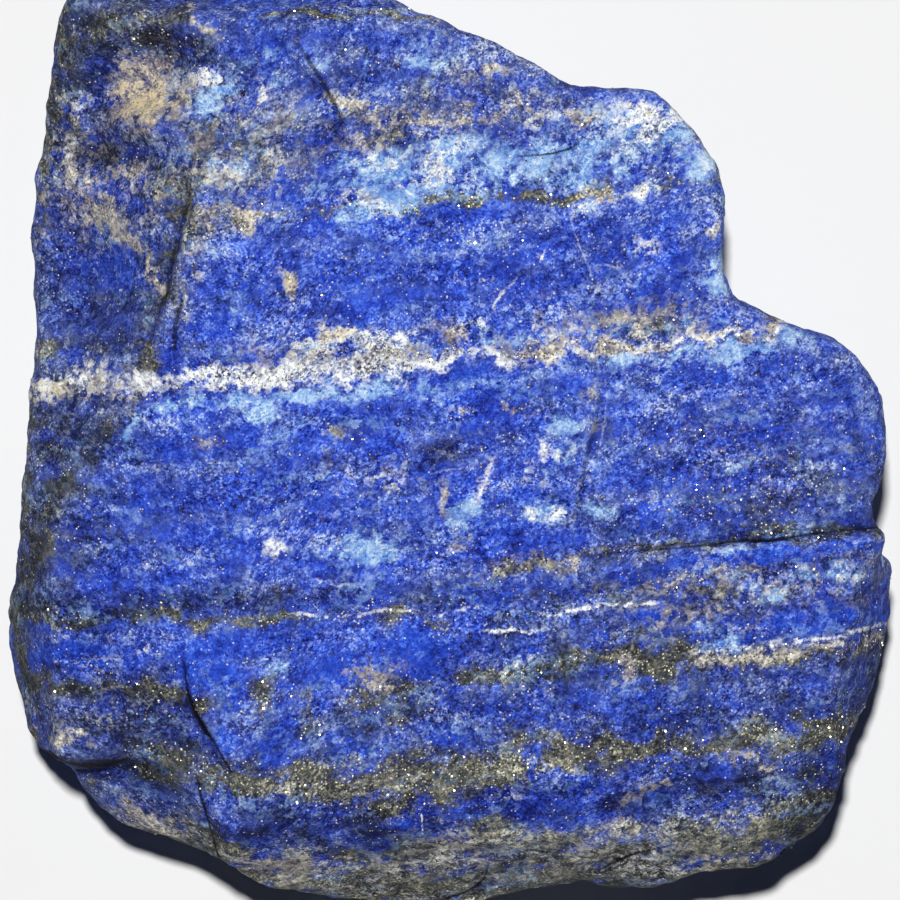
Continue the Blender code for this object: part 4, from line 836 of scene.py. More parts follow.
@dataclass
class BrokenBlock:
    """The block of stone itself: one closed mesh with a fine, even skin.

    The plan outline is extruded, squeezed between the faces of the underside and those of the top, and
    then the ledges, cracks and the relief of the broken surface are worked into the skin.
    """

    thickness: float = 42.0
    blank_voxel: float = 0.8
    skin_voxel: float = 0.42
    triangles: int = 190_000
    top_blend: float = 1.2
    under_blend: float = 2.6
    top_rim_radius: float = 1.1
    under_rim_reach: float = 5.0
    under_rim_slope: float = 0.8
    least_rim: float = 6.5
    rest_level: float = -1.4
    lobe_riser: float = 1.0
    lump_size: float = 17.0
    lump_height: float = 0.9
    chip_size: float = 5.5
    chip_height: float = 0.5
    bed_thickness: float = 3.4
    bed_height: float = 0.45
    bed_tilt: float = 0.11
    flake_size: float = 2.3
    flake_height: float = 0.32
    grit_size: float = 0.95
    grit_height: float = 0.13

    def top_height(self, x: Rows, y: Rows, rim: Rows) -> Rows:
        """Height of the stone's top over each place, with its hollows and the lower lobe."""
        height = np.full(len(x), self.thickness)
        upper_flank, lower_flank = (face_height(face, x, y) for face in LEFT_FLANK)
        flank = -soft_min(-upper_flank, -lower_flank, self.top_blend)
        height = soft_min(height, flank, self.top_blend)
        for face in TOP_FACES.values():
            height = soft_min(height, face_height(face, x, y), self.top_blend)
        for centre_x, centre_y, half_x, half_y, depth, turn in HOLLOWS.values():
            out = round_off(x, y, (centre_x, centre_y), (half_x, half_y), turn)
            height = height - depth * np.maximum(1 - out, 0) ** 1.5
        beside, _ = beside_line(x, y, LOBE_EDGE)
        on_lobe = smooth_step(0.5 - beside / self.lobe_riser)
        height = height + on_lobe * (np.minimum(face_height(LOBE_FACE, x, y), height) - height)
        into_rim = np.clip(self.top_rim_radius - rim, 0, self.top_rim_radius)
        return height - self.top_rim_radius + np.sqrt(self.top_rim_radius**2 - into_rim**2)

    def under_height(self, x: Rows, y: Rows, rim: Rows) -> Rows:
        """Height of the stone's underside over each place, with its knobs."""
        height = np.full(len(x), self.rest_level)
        for face in UNDER_FACES.values():
            height = -soft_min(-height, -face_height(face, x, y), self.under_blend)
        for centre_x, centre_y, half_x, half_y, proud in UNDER_KNOBS.values():
            out = round_off(x, y, (centre_x, centre_y), (half_x, half_y), 0.0)
            height = height - proud * np.maximum(1 - out, 0) ** 1.5
        into_rim = np.clip(self.under_rim_reach - rim, 0, self.under_rim_reach)
        return height + self.under_rim_slope * into_rim**2 / self.under_rim_reach

    def blank(self) -> bpy.types.Mesh:
        """The plan outline extruded to the block's thickness, standing on the ground."""
        outline = bpy.data.curves.new("outline", "CURVE")
        outline.dimensions = "2D"
        outline.fill_mode = "BOTH"
        outline.extrude = self.thickness / 2
        ring = outline.splines.new("POLY")
        ring.points.add(len(OUTLINE_PIXELS) - 1)
        for point, (x, y) in zip(ring.points, on_plan(OUTLINE_PIXELS)):
            point.co = (x, y, 0, 1)
        ring.use_cyclic_u = True
        plan = bpy.data.objects.new("outline", outline)
        bpy.context.scene.collection.objects.link(plan)
        mesh = evaluated_mesh(plan)
        bpy.data.objects.remove(plan, do_unlink=True)
        welded = bmesh.new()
        welded.from_mesh(mesh)
        bmesh.ops.remove_doubles(welded, verts=welded.verts, dist=0.01)
        bmesh.ops.translate(welded, verts=welded.verts, vec=(0, 0, self.thickness / 2))
        bmesh.ops.recalc_face_normals(welded, faces=welded.faces)
        welded.to_mesh(mesh)
        welded.free()
        return mesh

    def squeeze(self, mesh: bpy.types.Mesh) -> None:
        """Maps the blank's height onto the space between the underside and the top."""
        points = read_points(mesh)
        x, y = points[:, 0], points[:, 1]
        beside, _ = beside_line(x, y, on_plan(OUTLINE_PIXELS + OUTLINE_PIXELS[:1]))
        rim = np.abs(beside)
        share = np.clip(points[:, 2] / self.thickness, 0, 1)
        top = self.top_height(x, y, rim)
        under = soft_min(self.under_height(x, y, rim), top - self.least_rim, self.under_blend)
        points[:, 2] = under + share * (top - under)
        move_points(mesh, points)

    def work_lines(self, mesh: bpy.types.Mesh) -> None:
        """Raises the proud side of each ledge and sinks the cracks, on the faces that look up."""
        points = read_points(mesh)
        x, y = points[:, 0], points[:, 1]
        rise = np.zeros(len(points))
        for line, riser, reach in LEDGES.values():
            beside, (height,) = beside_line(x, y, line)
            proud_side = np.where(height < 0, -beside, beside)
            falling_back = np.exp(-((np.maximum(proud_side, 0) / reach) ** 2))
            rise += np.abs(height) * smooth_step(0.5 + proud_side / riser) * falling_back
        for line, width in CRACKS.values():
            beside, (depth,) = beside_line(x, y, line)
            rise -= depth * np.exp(-((beside / (width / 2)) ** 2))
        for line in SHADE_LINES.values():
            beside, (half, share) = beside_line(x, y, on_plan(line))
            rise -= HAIRLINE_DEPTH * share * np.exp(-((beside / (half + HAIRLINE_SPREAD)) ** 2))
        points[:, 2] += rise * smooth_step(read_normals(mesh)[:, 2] / 0.4)
        move_points(mesh, points)

    def relief(self, place: Vector) -> float:
        """How far the broken surface stands out at a point: lumps, chips, beds, flakes and grit."""
        lump = noise.fractal(place / self.lump_size + Vector((3.1, 7.7, 1.3)), 1.0, 2.0, 3)
        chip = abs(noise.noise(place / self.chip_size + Vector((11.0, 2.0, 5.0)))) - 0.25
        length = 9 * self.bed_thickness
        across = (place.y - self.bed_tilt * place.x) / self.bed_thickness
        bed = noise.noise(Vector((place.x / length, across, place.z / length)))
        flake = abs(noise.noise(place / self.flake_size + Vector((1.0, 9.0, 4.0)))) - 0.2
        grit = noise.noise(place / self.grit_size + Vector((6.0, 3.0, 8.0)))
        coarse = self.lump_height * lump + self.chip_height * chip + self.bed_height * bed
        return coarse + self.flake_height * flake + self.grit_height * grit

    def build(self) -> bpy.types.Object:
        """Makes the block, in millimetres and not yet in its place."""
        stone = bpy.data.objects.new("lapis_block", self.blank())
        bpy.context.scene.collection.objects.link(stone)
        even_skin(stone, self.blank_voxel)
        self.squeeze(stone.data)
        even_skin(stone, self.skin_voxel)
        self.work_lines(stone.data)
        points = read_points(stone.data)
        relief = np.array([self.relief(Vector(point)) for point in points])
        points += read_normals(stone.data) * relief[:, None]
        points[:, 2] = np.maximum(points[:, 2], 0.0)
        move_points(stone.data, points)
        count = sum(len(face.vertices) - 2 for face in stone.data.polygons)
        if count > self.triangles:
            thinner = stone.modifiers.new("thinner", "DECIMATE")
            thinner.ratio = self.triangles / count
            bake_modifiers(stone)
        log.info("block: %d faces, from %d triangles", len(stone.data.polygons), count)
        return stone


@dataclass
class MineralLayout:
    """Lays the minerals over the block, as attributes of its mesh.

    What is seen from above follows the named seams and patches. On the walls and the underside the same
    seams run on, more and more warped with depth, between bands that follow smooth noise.
    """

    top_level: float = 41.0
    dip: float = 0.12
    bend_x: tuple[float, ...] = (-46.0, -33.0, -22.0, -13.0, 0.0, 16.0, 27.0, 42.0, 52.0)
    bend_y: tuple[float, ...] = (0.0, -0.5, -0.5, 2.0, 3.5, 5.0, 7.0, 8.5, 9.5)
    wide_warp: tuple[float, float] = (3.2, 1.5)
    fine_warp: tuple[float, float] = (1.1, 0.8)
    deep_warp: tuple[float, float] = (11.0, 8.0)
    uneven_size: tuple[float, float, float] = (3.4, 1.7, 3.4)
    uneven: float = 0.9
    patch_reach: float = 1.12
    bare_spot: float = 2.5

    def bed_places(self, places: Rows) -> Rows:
        """Each place as its way along the beds, across them, and its height."""
        x, y, z = places.T
        across = y - np.interp(x, self.bend_x, self.bend_y) + self.dip * (z - self.top_level)
        return np.column_stack((x, across, z))

    def buried_shares(self, beds: Rows) -> dict[Mineral, Rows]:
        """The bands of the walls and the underside, which follow smooth noise."""
        shares = {}
        for row, (mineral, (length, thickness, threshold, gain)) in enumerate(BURIED_BANDS.items()):
            pattern = noise_rows(beds, (length, thickness, length), (row * 7.3, 2.1, row * 1.7))[:, 0]
            detail = noise_rows(beds, (length / 4, thickness / 3, length / 4), (row * 3.3, 5.1, 0.7))[:, 0]
            shares[mineral] = np.clip((pattern + 0.5 * detail - threshold) * gain, 0, 1)
        return shares

    def dress(self, mesh: bpy.types.Mesh) -> None:
        """Writes every mineral's share, the painted shade, the bed coordinates and the fine lines into the mesh.

        Args:
            mesh: The block's mesh, still in millimetres and in the place where it was drawn.
        """
        places = read_points(mesh)
        seen = smooth_step((broad_normals(mesh)[:, 2] + 0.35) / 0.5)
        beds = self.bed_places(places)
        buried = np.clip((self.top_level - places[:, 2]) / self.top_level, 0, 1) * (1.2 - seen)
        deep = noise_rows(places, (self.deep_warp[0],) * 3, (2.0, 4.0, 9.0)) * self.deep_warp[1]
        wide = noise_rows(places, (self.wide_warp[0],) * 3, (8.0, 1.0, 3.0)) * self.wide_warp[1]
        fine = noise_rows(places, (self.fine_warp[0],) * 3, (5.0, 6.0, 2.0)) * self.fine_warp[1]
        line_x, line_y = (places + deep * buried[:, None])[:, :2].T
        x, y = (places + wide + fine + deep * buried[:, None])[:, :2].T
        uneven = noise_rows(beds, self.uneven_size, (1.0, 1.0, 5.0)) * self.uneven
        bare = {mineral: np.ones(len(places)) for mineral in Mineral}
        for seam in SEAMS.values():
            bare[seam.mineral] *= 1 - seam.share(x, y)
        for mineral, patches in PATCHES.items():
            for centre_x, centre_y, half_x, half_y, turn, share in on_plan(patches):
                halves = (half_x * PIXEL * self.patch_reach, half_y * PIXEL * self.patch_reach)
                out = round_off(x, y, (centre_x, centre_y), halves, turn)
                bare[mineral] *= 1 - share * seen * np.exp(-(out**1.25))
        for mineral, share in self.buried_shares(beds).items():
            bare[mineral] *= 1 - share * (1 - seen)
        bare[Mineral.PYRITE] = 1 - (1 - bare[Mineral.PYRITE]) * smooth_step(places[:, 2] / self.bare_spot - 0.5)
        for row, (mineral, left) in enumerate(bare.items()):
            share = (1 - left) * (1 + uneven[:, row % 3])
            write_values(mesh, mineral.value, share)
        write_vectors(mesh, Attribute.BED_PLACE.value, beds)
        # Painted shade in the hollows, and lighter standing-out edges as wear
        wear_and_hollow_shade = np.clip(standing_out(mesh, 4) / 0.10, -1, 1) + np.clip(standing_out(mesh, 40) / 0.45, -1, 1)
        write_values(mesh, Attribute.WEAR_AND_HOLLOW_SHADE.value, wear_and_hollow_shade / 2)
        groups = ((VEINLETS, Attribute.VEINLET_OFFSET, Attribute.VEINLET_SHARE),
                  (SHADE_LINES, Attribute.CRACK_SHADE_OFFSET, Attribute.CRACK_SHADE_SHARE))
        for lines, offset_name, share_name in groups:
            offset, share = self.nearest_line(line_x, line_y, lines)
            write_values(mesh, offset_name.value, offset)
            write_values(mesh, share_name.value, share * seen)
        log.info("layout: %d seams, %d veinlets, %d dark lines", len(SEAMS), len(VEINLETS), len(SHADE_LINES))

    @staticmethod
    def nearest_line(x: Rows, y: Rows, lines: dict[str, Line]) -> tuple[Rows, Rows]:
        """The nearest of several fine lines.

        Args:
            x: Places along X.
            y: Places along Y.
            lines: Lines whose points are x and y in pixels, half width in millimetres and share.

        Returns:
            The distance in half widths, which crosses 0 on the line, and the line's share.
        """
        nearest = np.full(len(x), np.inf)
        offset, found = np.full(len(x), 50.0), np.zeros(len(x))
        for line in lines.values():
            beside, (half, share) = beside_line(x, y, on_plan(line))
            closer = np.abs(beside) < nearest
            nearest = np.where(closer, np.abs(beside), nearest)
            offset = np.where(closer, np.clip(beside / half, -50, 50), offset)
            found = np.where(closer, share * np.clip(3 - np.abs(beside) / 0.3, 0, 1), found)
        return offset, found


def read_points(mesh: bpy.types.Mesh) -> Rows:
    """The mesh's vertices as rows of x, y and z."""
    flat = np.empty(len(mesh.vertices) * 3)
    mesh.vertices.foreach_get("co", flat)
    return flat.reshape(-1, 3)


def read_normals(mesh: bpy.types.Mesh) -> Rows:
    """The mesh's vertex normals as rows of x, y and z."""
    flat = np.empty(len(mesh.vertices) * 3)
    mesh.vertex_normals.foreach_get("vector", flat)
    return flat.reshape(-1, 3)


def broad_normals(mesh: bpy.types.Mesh, rounds: int = 12) -> Rows:
    """Vertex normals averaged over their surroundings, so that the grit doesn't count.

    Args:
        mesh: The mesh to read.
        rounds: How many times each vertex takes the mean of its neighbours.

    Returns:
        Rows of unit vectors.
    """
    normals = read_normals(mesh)
    ends = np.empty(len(mesh.edges) * 2, dtype=np.int64)
    mesh.edges.foreach_get("vertices", ends)
    a, b = ends.reshape(-1, 2).T
    for _ in range(rounds):
        total = normals.copy()
        for axis in range(3):
            total[:, axis] += np.bincount(a, normals[b, axis], len(normals))
            total[:, axis] += np.bincount(b, normals[a, axis], len(normals))
        normals = total / np.linalg.norm(total, axis=1)[:, None]
    return normals


def move_points(mesh: bpy.types.Mesh, points: Rows) -> None:
    """Puts the mesh's vertices at the given rows."""
    mesh.vertices.foreach_set("co", points.ravel())
    mesh.update()


def write_values(mesh: bpy.types.Mesh, name: str, values: Rows) -> None:
    """Gives the mesh one number for each vertex, under the given name."""
    attribute = mesh.attributes.new(name, "FLOAT", "POINT")
    attribute.data.foreach_set("value", values.astype(np.float32))


def write_vectors(mesh: bpy.types.Mesh, name: str, rows: Rows) -> None:
    """Gives the mesh one vector for each vertex, under the given name."""
    attribute = mesh.attributes.new(name, "FLOAT_VECTOR", "POINT")
    attribute.data.foreach_set("vector", rows.astype(np.float32).ravel())


def standing_out(mesh: bpy.types.Mesh, rounds: int) -> Rows:
    """How far each vertex stands out from its surroundings along its normal, less than 0 in a hollow.

    Args:
        mesh: The mesh to read.
        rounds: How many times each place takes the mean of its neighbours, which sets how wide they are.
    """
    points = read_points(mesh)
    level = points.copy()
    ends = np.empty(len(mesh.edges) * 2, dtype=np.int64)
    mesh.edges.foreach_get("vertices", ends)
    a, b = ends.reshape(-1, 2).T
    count = 1 + np.bincount(a, minlength=len(points)) + np.bincount(b, minlength=len(points))
    for _ in range(rounds):
        total = level.copy()
        for axis in range(3):
            total[:, axis] += np.bincount(a, level[b, axis], len(points))
            total[:, axis] += np.bincount(b, level[a, axis], len(points))
        level = total / count[:, None]
    return np.sum((points - level) * read_normals(mesh), axis=1)


def evaluated_mesh(obj: bpy.types.Object) -> bpy.types.Mesh:
    """A plain mesh of the object as its modifiers leave it."""
    bpy.context.view_layer.update()
    graph = bpy.context.evaluated_depsgraph_get()
    return bpy.data.meshes.new_from_object(obj.evaluated_get(graph))


def bake_modifiers(obj: bpy.types.Object) -> None:
    """Turns the object's modifiers into its mesh."""
    mesh = evaluated_mesh(obj)
    obj.modifiers.clear()
    obj.data = mesh


def even_skin(obj: bpy.types.Object, voxel: float) -> None:
    """Covers the object in an even skin of small faces."""
    skin = obj.modifiers.new("even_skin", "REMESH")
    skin.mode = "VOXEL"
    skin.voxel_size = voxel
    bake_modifiers(obj)


Colour = tuple[float, float, float]
Stops = Sequence[tuple[float, Colour]]


def paint(red: int, green: int, blue: int) -> Colour:
    """A colour as a screen shows it, from 0 to 255, turned into linear values."""
    shown = np.array((red, green, blue)) / 255
    linear = np.where(shown <= 0.04045, shown / 12.92, ((shown + 0.055) / 1.055) ** 2.4)
    return tuple(float(value) for value in linear)


class NodeBench:
    """Adds nodes to one tree and links them.

    A value given for an input may be a plain value or the socket of another node, which is then linked.
    """

    def __init__(self, tree: bpy.types.NodeTree) -> None:
        """Takes the tree that the nodes go into."""
        self.tree = tree

    def node(self, kind: str, inputs: dict | None = None, **settings) -> bpy.types.Node:
        """Adds a node.

        Args:
            kind: Blender's name for the kind of node.
            inputs: Values or sockets for its inputs, by the input's name or place.
            settings: Values for the node's own properties.

        Returns:
            The new node.
        """
        made = self.tree.nodes.new(kind)
        for name, value in settings.items():
            setattr(made, name, value)
        for key, value in (inputs or {}).items():
            if isinstance(value, bpy.types.NodeSocket):
                self.tree.links.new(value, made.inputs[key])
            else:
                made.inputs[key].default_value = value
        return made

    def math(self, operation: str, *values, clamp: bool = False) -> bpy.types.NodeSocket:
        """Adds a Math node on up to three values and returns its output."""
        made = self.node("ShaderNodeMath", dict(enumerate(values)), operation=operation, use_clamp=clamp)
        return made.outputs[0]

    def mix(self, share, below, above, blend: str = "MIX") -> bpy.types.NodeSocket:
        """Lays one colour over another by a share and returns the result."""
        inputs = {0: share, 6: below, 7: above}
        made = self.node("ShaderNodeMix", inputs, data_type="RGBA", blend_type=blend)
        return made.outputs[2]

    def attribute(self, name: str) -> bpy.types.Node:
        """Adds a node that reads one of the mesh's attributes."""
        return self.node("ShaderNodeAttribute", attribute_name=name)

    def value(self, name: str) -> bpy.types.NodeSocket:
        """One of the mesh's attributes as a number."""
        return self.attribute(name).outputs["Fac"]

    def ramp(self, value: bpy.types.NodeSocket, stops: Stops) -> bpy.types.NodeSocket:
        """Adds a colour ramp over the given stops and returns its colour."""
        made = self.node("ShaderNodeValToRGB", {"Fac": value})
        points = made.color_ramp.elements
        while len(points) < len(stops):
            points.new(1.0)
        for point, (position, colour) in zip(points, stops):
            point.position = position
            point.color = (*colour, 1)
        return made.outputs["Color"]

    def group(self, tree: bpy.types.NodeTree, inputs: dict) -> bpy.types.Node:
        """Places a node group with its own values."""
        made = self.tree.nodes.new("ShaderNodeGroup")
        made.node_tree = tree
        for name, value in inputs.items():
            if isinstance(value, bpy.types.NodeSocket):
                self.tree.links.new(value, made.inputs[name])
            else:
                made.inputs[name].default_value = value
        return made


def new_group(name: str, inputs: dict[str, str], outputs: dict[str, str]) -> tuple[NodeBench, dict, dict]:
    """Starts a shader node group.

    Args:
        name: The group's name.
        inputs: Socket kinds by input name.
        outputs: Socket kinds by output name.

    Returns:
        A bench on the group's tree, its input sockets by name, and the sockets that its outputs end in.
    """
    tree = bpy.data.node_groups.new(name, "ShaderNodeTree")
    for label, kind in inputs.items():
        tree.interface.new_socket(label, in_out="INPUT", socket_type=kind)
    for label, kind in outputs.items():
        tree.interface.new_socket(label, in_out="OUTPUT", socket_type=kind)
    bench = NodeBench(tree)
    start, end = bench.node("NodeGroupInput"), bench.node("NodeGroupOutput")
    return bench, {label: start.outputs[label] for label in inputs}, {label: end.inputs[label] for label in outputs}


def make_grain_group() -> bpy.types.NodeTree:
    """The grain of the rock, on places in millimetres.

    Cloud varies over several millimetres, drawn out along the beds. Grain goes from a millimetre down to
    the finest specks. Patch is three unlike patterns for patches of colour, and Fleck the same for small
    flecks. Clump is one random colour for each clump of crystals, Crystal the same for each small crystal,
    Core is 1 in the middle of a crystal, and Height is the relief that these make, in millimetres.
    """
    bench, into, out = new_group(
        "rock_grain",
        {"Place": "NodeSocketVector", "Cloud Size": "NodeSocketFloat", "Grain Size": "NodeSocketFloat",
         "Patch Size": "NodeSocketFloat", "Fleck Size": "NodeSocketFloat", "Clump Size": "NodeSocketFloat",
         "Crystal Size": "NodeSocketFloat"},
        {"Cloud": "NodeSocketColor", "Grain": "NodeSocketFloat", "Patch": "NodeSocketColor",
         "Fleck": "NodeSocketColor", "Clump": "NodeSocketColor", "Crystal": "NodeSocketColor",
         "Core": "NodeSocketFloat", "Height": "NodeSocketFloat"},
    )
    drawn_out = bench.node("ShaderNodeMapping", {"Vector": into["Place"], "Scale": (0.45, 1.0, 0.6)})
    shifted = bench.node("ShaderNodeMapping", {"Vector": into["Place"], "Location": (31.0, 17.0, 5.0),
                                               "Scale": (0.65, 1.0, 0.8)})
    even = bench.node("ShaderNodeMapping", {"Vector": into["Place"], "Location": (7.0, 41.0, 13.0),
                                            "Scale": (0.9, 1.0, 0.95)})
    cloud = bench.node("ShaderNodeTexNoise", {
        "Vector": drawn_out.outputs[0], "Scale": bench.math("DIVIDE", 1.0, into["Cloud Size"]),
        "Detail": 2.0, "Roughness": 0.6})
    grain = bench.node("ShaderNodeTexNoise", {
        "Vector": into["Place"], "Scale": bench.math("DIVIDE", 1.0, into["Grain Size"]),
        "Detail": 4.0, "Roughness": 0.78})
    patch = bench.node("ShaderNodeTexNoise", {
        "Vector": shifted.outputs[0], "Scale": bench.math("DIVIDE", 1.0, into["Patch Size"]),
        "Detail": 2.5, "Roughness": 0.5})
    fleck = bench.node("ShaderNodeTexNoise", {
        "Vector": even.outputs[0], "Scale": bench.math("DIVIDE", 1.0, into["Fleck Size"]),
        "Detail": 2.0, "Roughness": 0.6})
    ragged = bench.node("ShaderNodeVectorMath", {0: fleck.outputs["Color"], 1: (0.5, 0.5, 0.5)},
                        operation="SUBTRACT")
    pushed = bench.node("ShaderNodeVectorMath", {0: ragged.outputs[0], "Scale": into["Clump Size"]},
                        operation="SCALE")
    around = bench.node("ShaderNodeVectorMath", {0: into["Place"], 1: pushed.outputs[0]}, operation="ADD")
    clump = bench.node("ShaderNodeTexVoronoi", {
        "Vector": around.outputs[0], "Scale": bench.math("DIVIDE", 1.0, into["Clump Size"])})
    crystal = bench.node("ShaderNodeTexVoronoi", {
        "Vector": into["Place"], "Scale": bench.math("DIVIDE", 1.0, into["Crystal Size"])})
    core = bench.math("MULTIPLY", bench.math("SUBTRACT", 0.52, crystal.outputs["Distance"]), 5.0, clamp=True)
    height = bench.math("MULTIPLY", grain.outputs["Fac"], 0.38)
    for name, socket in (("Cloud", cloud.outputs["Color"]), ("Grain", grain.outputs["Fac"]),
                         ("Patch", patch.outputs["Color"]), ("Fleck", fleck.outputs["Color"]),
                         ("Clump", clump.outputs["Color"]), ("Crystal", crystal.outputs["Color"]), ("Core", core), ("Height", height)):
        bench.tree.links.new(socket, out[name])
    return bench.tree


def make_share_group() -> bpy.types.NodeTree:
    """A mineral's share turned into a mask with ragged, speckled edges, by a pattern of noise."""
    bench, into, out = new_group(
        "speckled_share",
        {"Share": "NodeSocketFloat", "Pattern": "NodeSocketFloat", "Speck": "NodeSocketFloat",
         "Speckle": "NodeSocketFloat", "Softness": "NodeSocketFloat"},
        {"Mask": "NodeSocketFloat"},
    )
    wide = bench.math("MULTIPLY_ADD", bench.math("SUBTRACT", into["Pattern"], 0.5), 2.5, 0.5)
    speck = bench.math("MULTIPLY", bench.math("SUBTRACT", into["Speck"], 0.5), into["Speckle"])
    lowest = bench.math("MULTIPLY_ADD", into["Softness"], 0.5, 0.02)
    threshold = bench.math("MAXIMUM", bench.math("ADD", wide, speck), lowest)
    over = bench.math("SUBTRACT", into["Share"], threshold)
    mask = bench.math("ADD", bench.math("DIVIDE", over, into["Softness"]), 0.5, clamp=True)
    bench.tree.links.new(mask, out["Mask"])
    return bench.tree


def make_line_group() -> bpy.types.NodeTree:
    """A thin line from the distance to it, in half widths, with a wavering edge."""
    bench, into, out = new_group(
        "thin_line",
        {"Offset": "NodeSocketFloat", "Share": "NodeSocketFloat", "Pattern": "NodeSocketFloat",
         "Waver": "NodeSocketFloat", "Gaps": "NodeSocketFloat"},
        {"Mask": "NodeSocketFloat"},
    )
    waver = bench.math("MULTIPLY", bench.math("SUBTRACT", into["Pattern"], 0.5), into["Waver"])
    away = bench.math("ABSOLUTE", bench.math("ADD", into["Offset"], waver))
    broken = bench.math("MULTIPLY", bench.math("SUBTRACT", into["Gaps"], 0.42), 9.0, clamp=True)
    core = bench.math("MULTIPLY", bench.math("SUBTRACT", 1.5, away, clamp=True), broken)
    bench.tree.links.new(bench.math("MULTIPLY", core, into["Share"], clamp=True), out["Mask"])
    return bench.tree


@dataclass(frozen=True)
class GrainSizes:
    """The sizes of the rock's grain, in millimetres."""

    cloud: float = 3.6
    grain: float = 0.72
    patch: float = 2.6
    fleck: float = 0.75
    clump: float = 0.85
    crystal: float = 0.22

    def inputs(self, place: bpy.types.NodeSocket) -> dict:
        """The grain group's inputs at these sizes, on the given places."""
        return {"Place": place, "Cloud Size": self.cloud, "Grain Size": self.grain,
                "Patch Size": self.patch, "Fleck Size": self.fleck, "Clump Size": self.clump,
                "Crystal Size": self.crystal}


@dataclass(frozen=True)
class Layer:
    """One mineral of the finish: its colours by tone, and the patterns that give its patches their edges.

    Ragged is how much the fleck pattern counts beside the patch pattern, softness how wide the patches'
    edges are, and everywhere the share that the mineral has all over the stone.
    """

    mineral: Mineral
    stops: Stops
    tone: bpy.types.NodeSocket
    edge: bpy.types.NodeSocket
    flecks: bpy.types.NodeSocket
    ragged: float
    softness: float
    everywhere: float | bpy.types.NodeSocket = 0.0


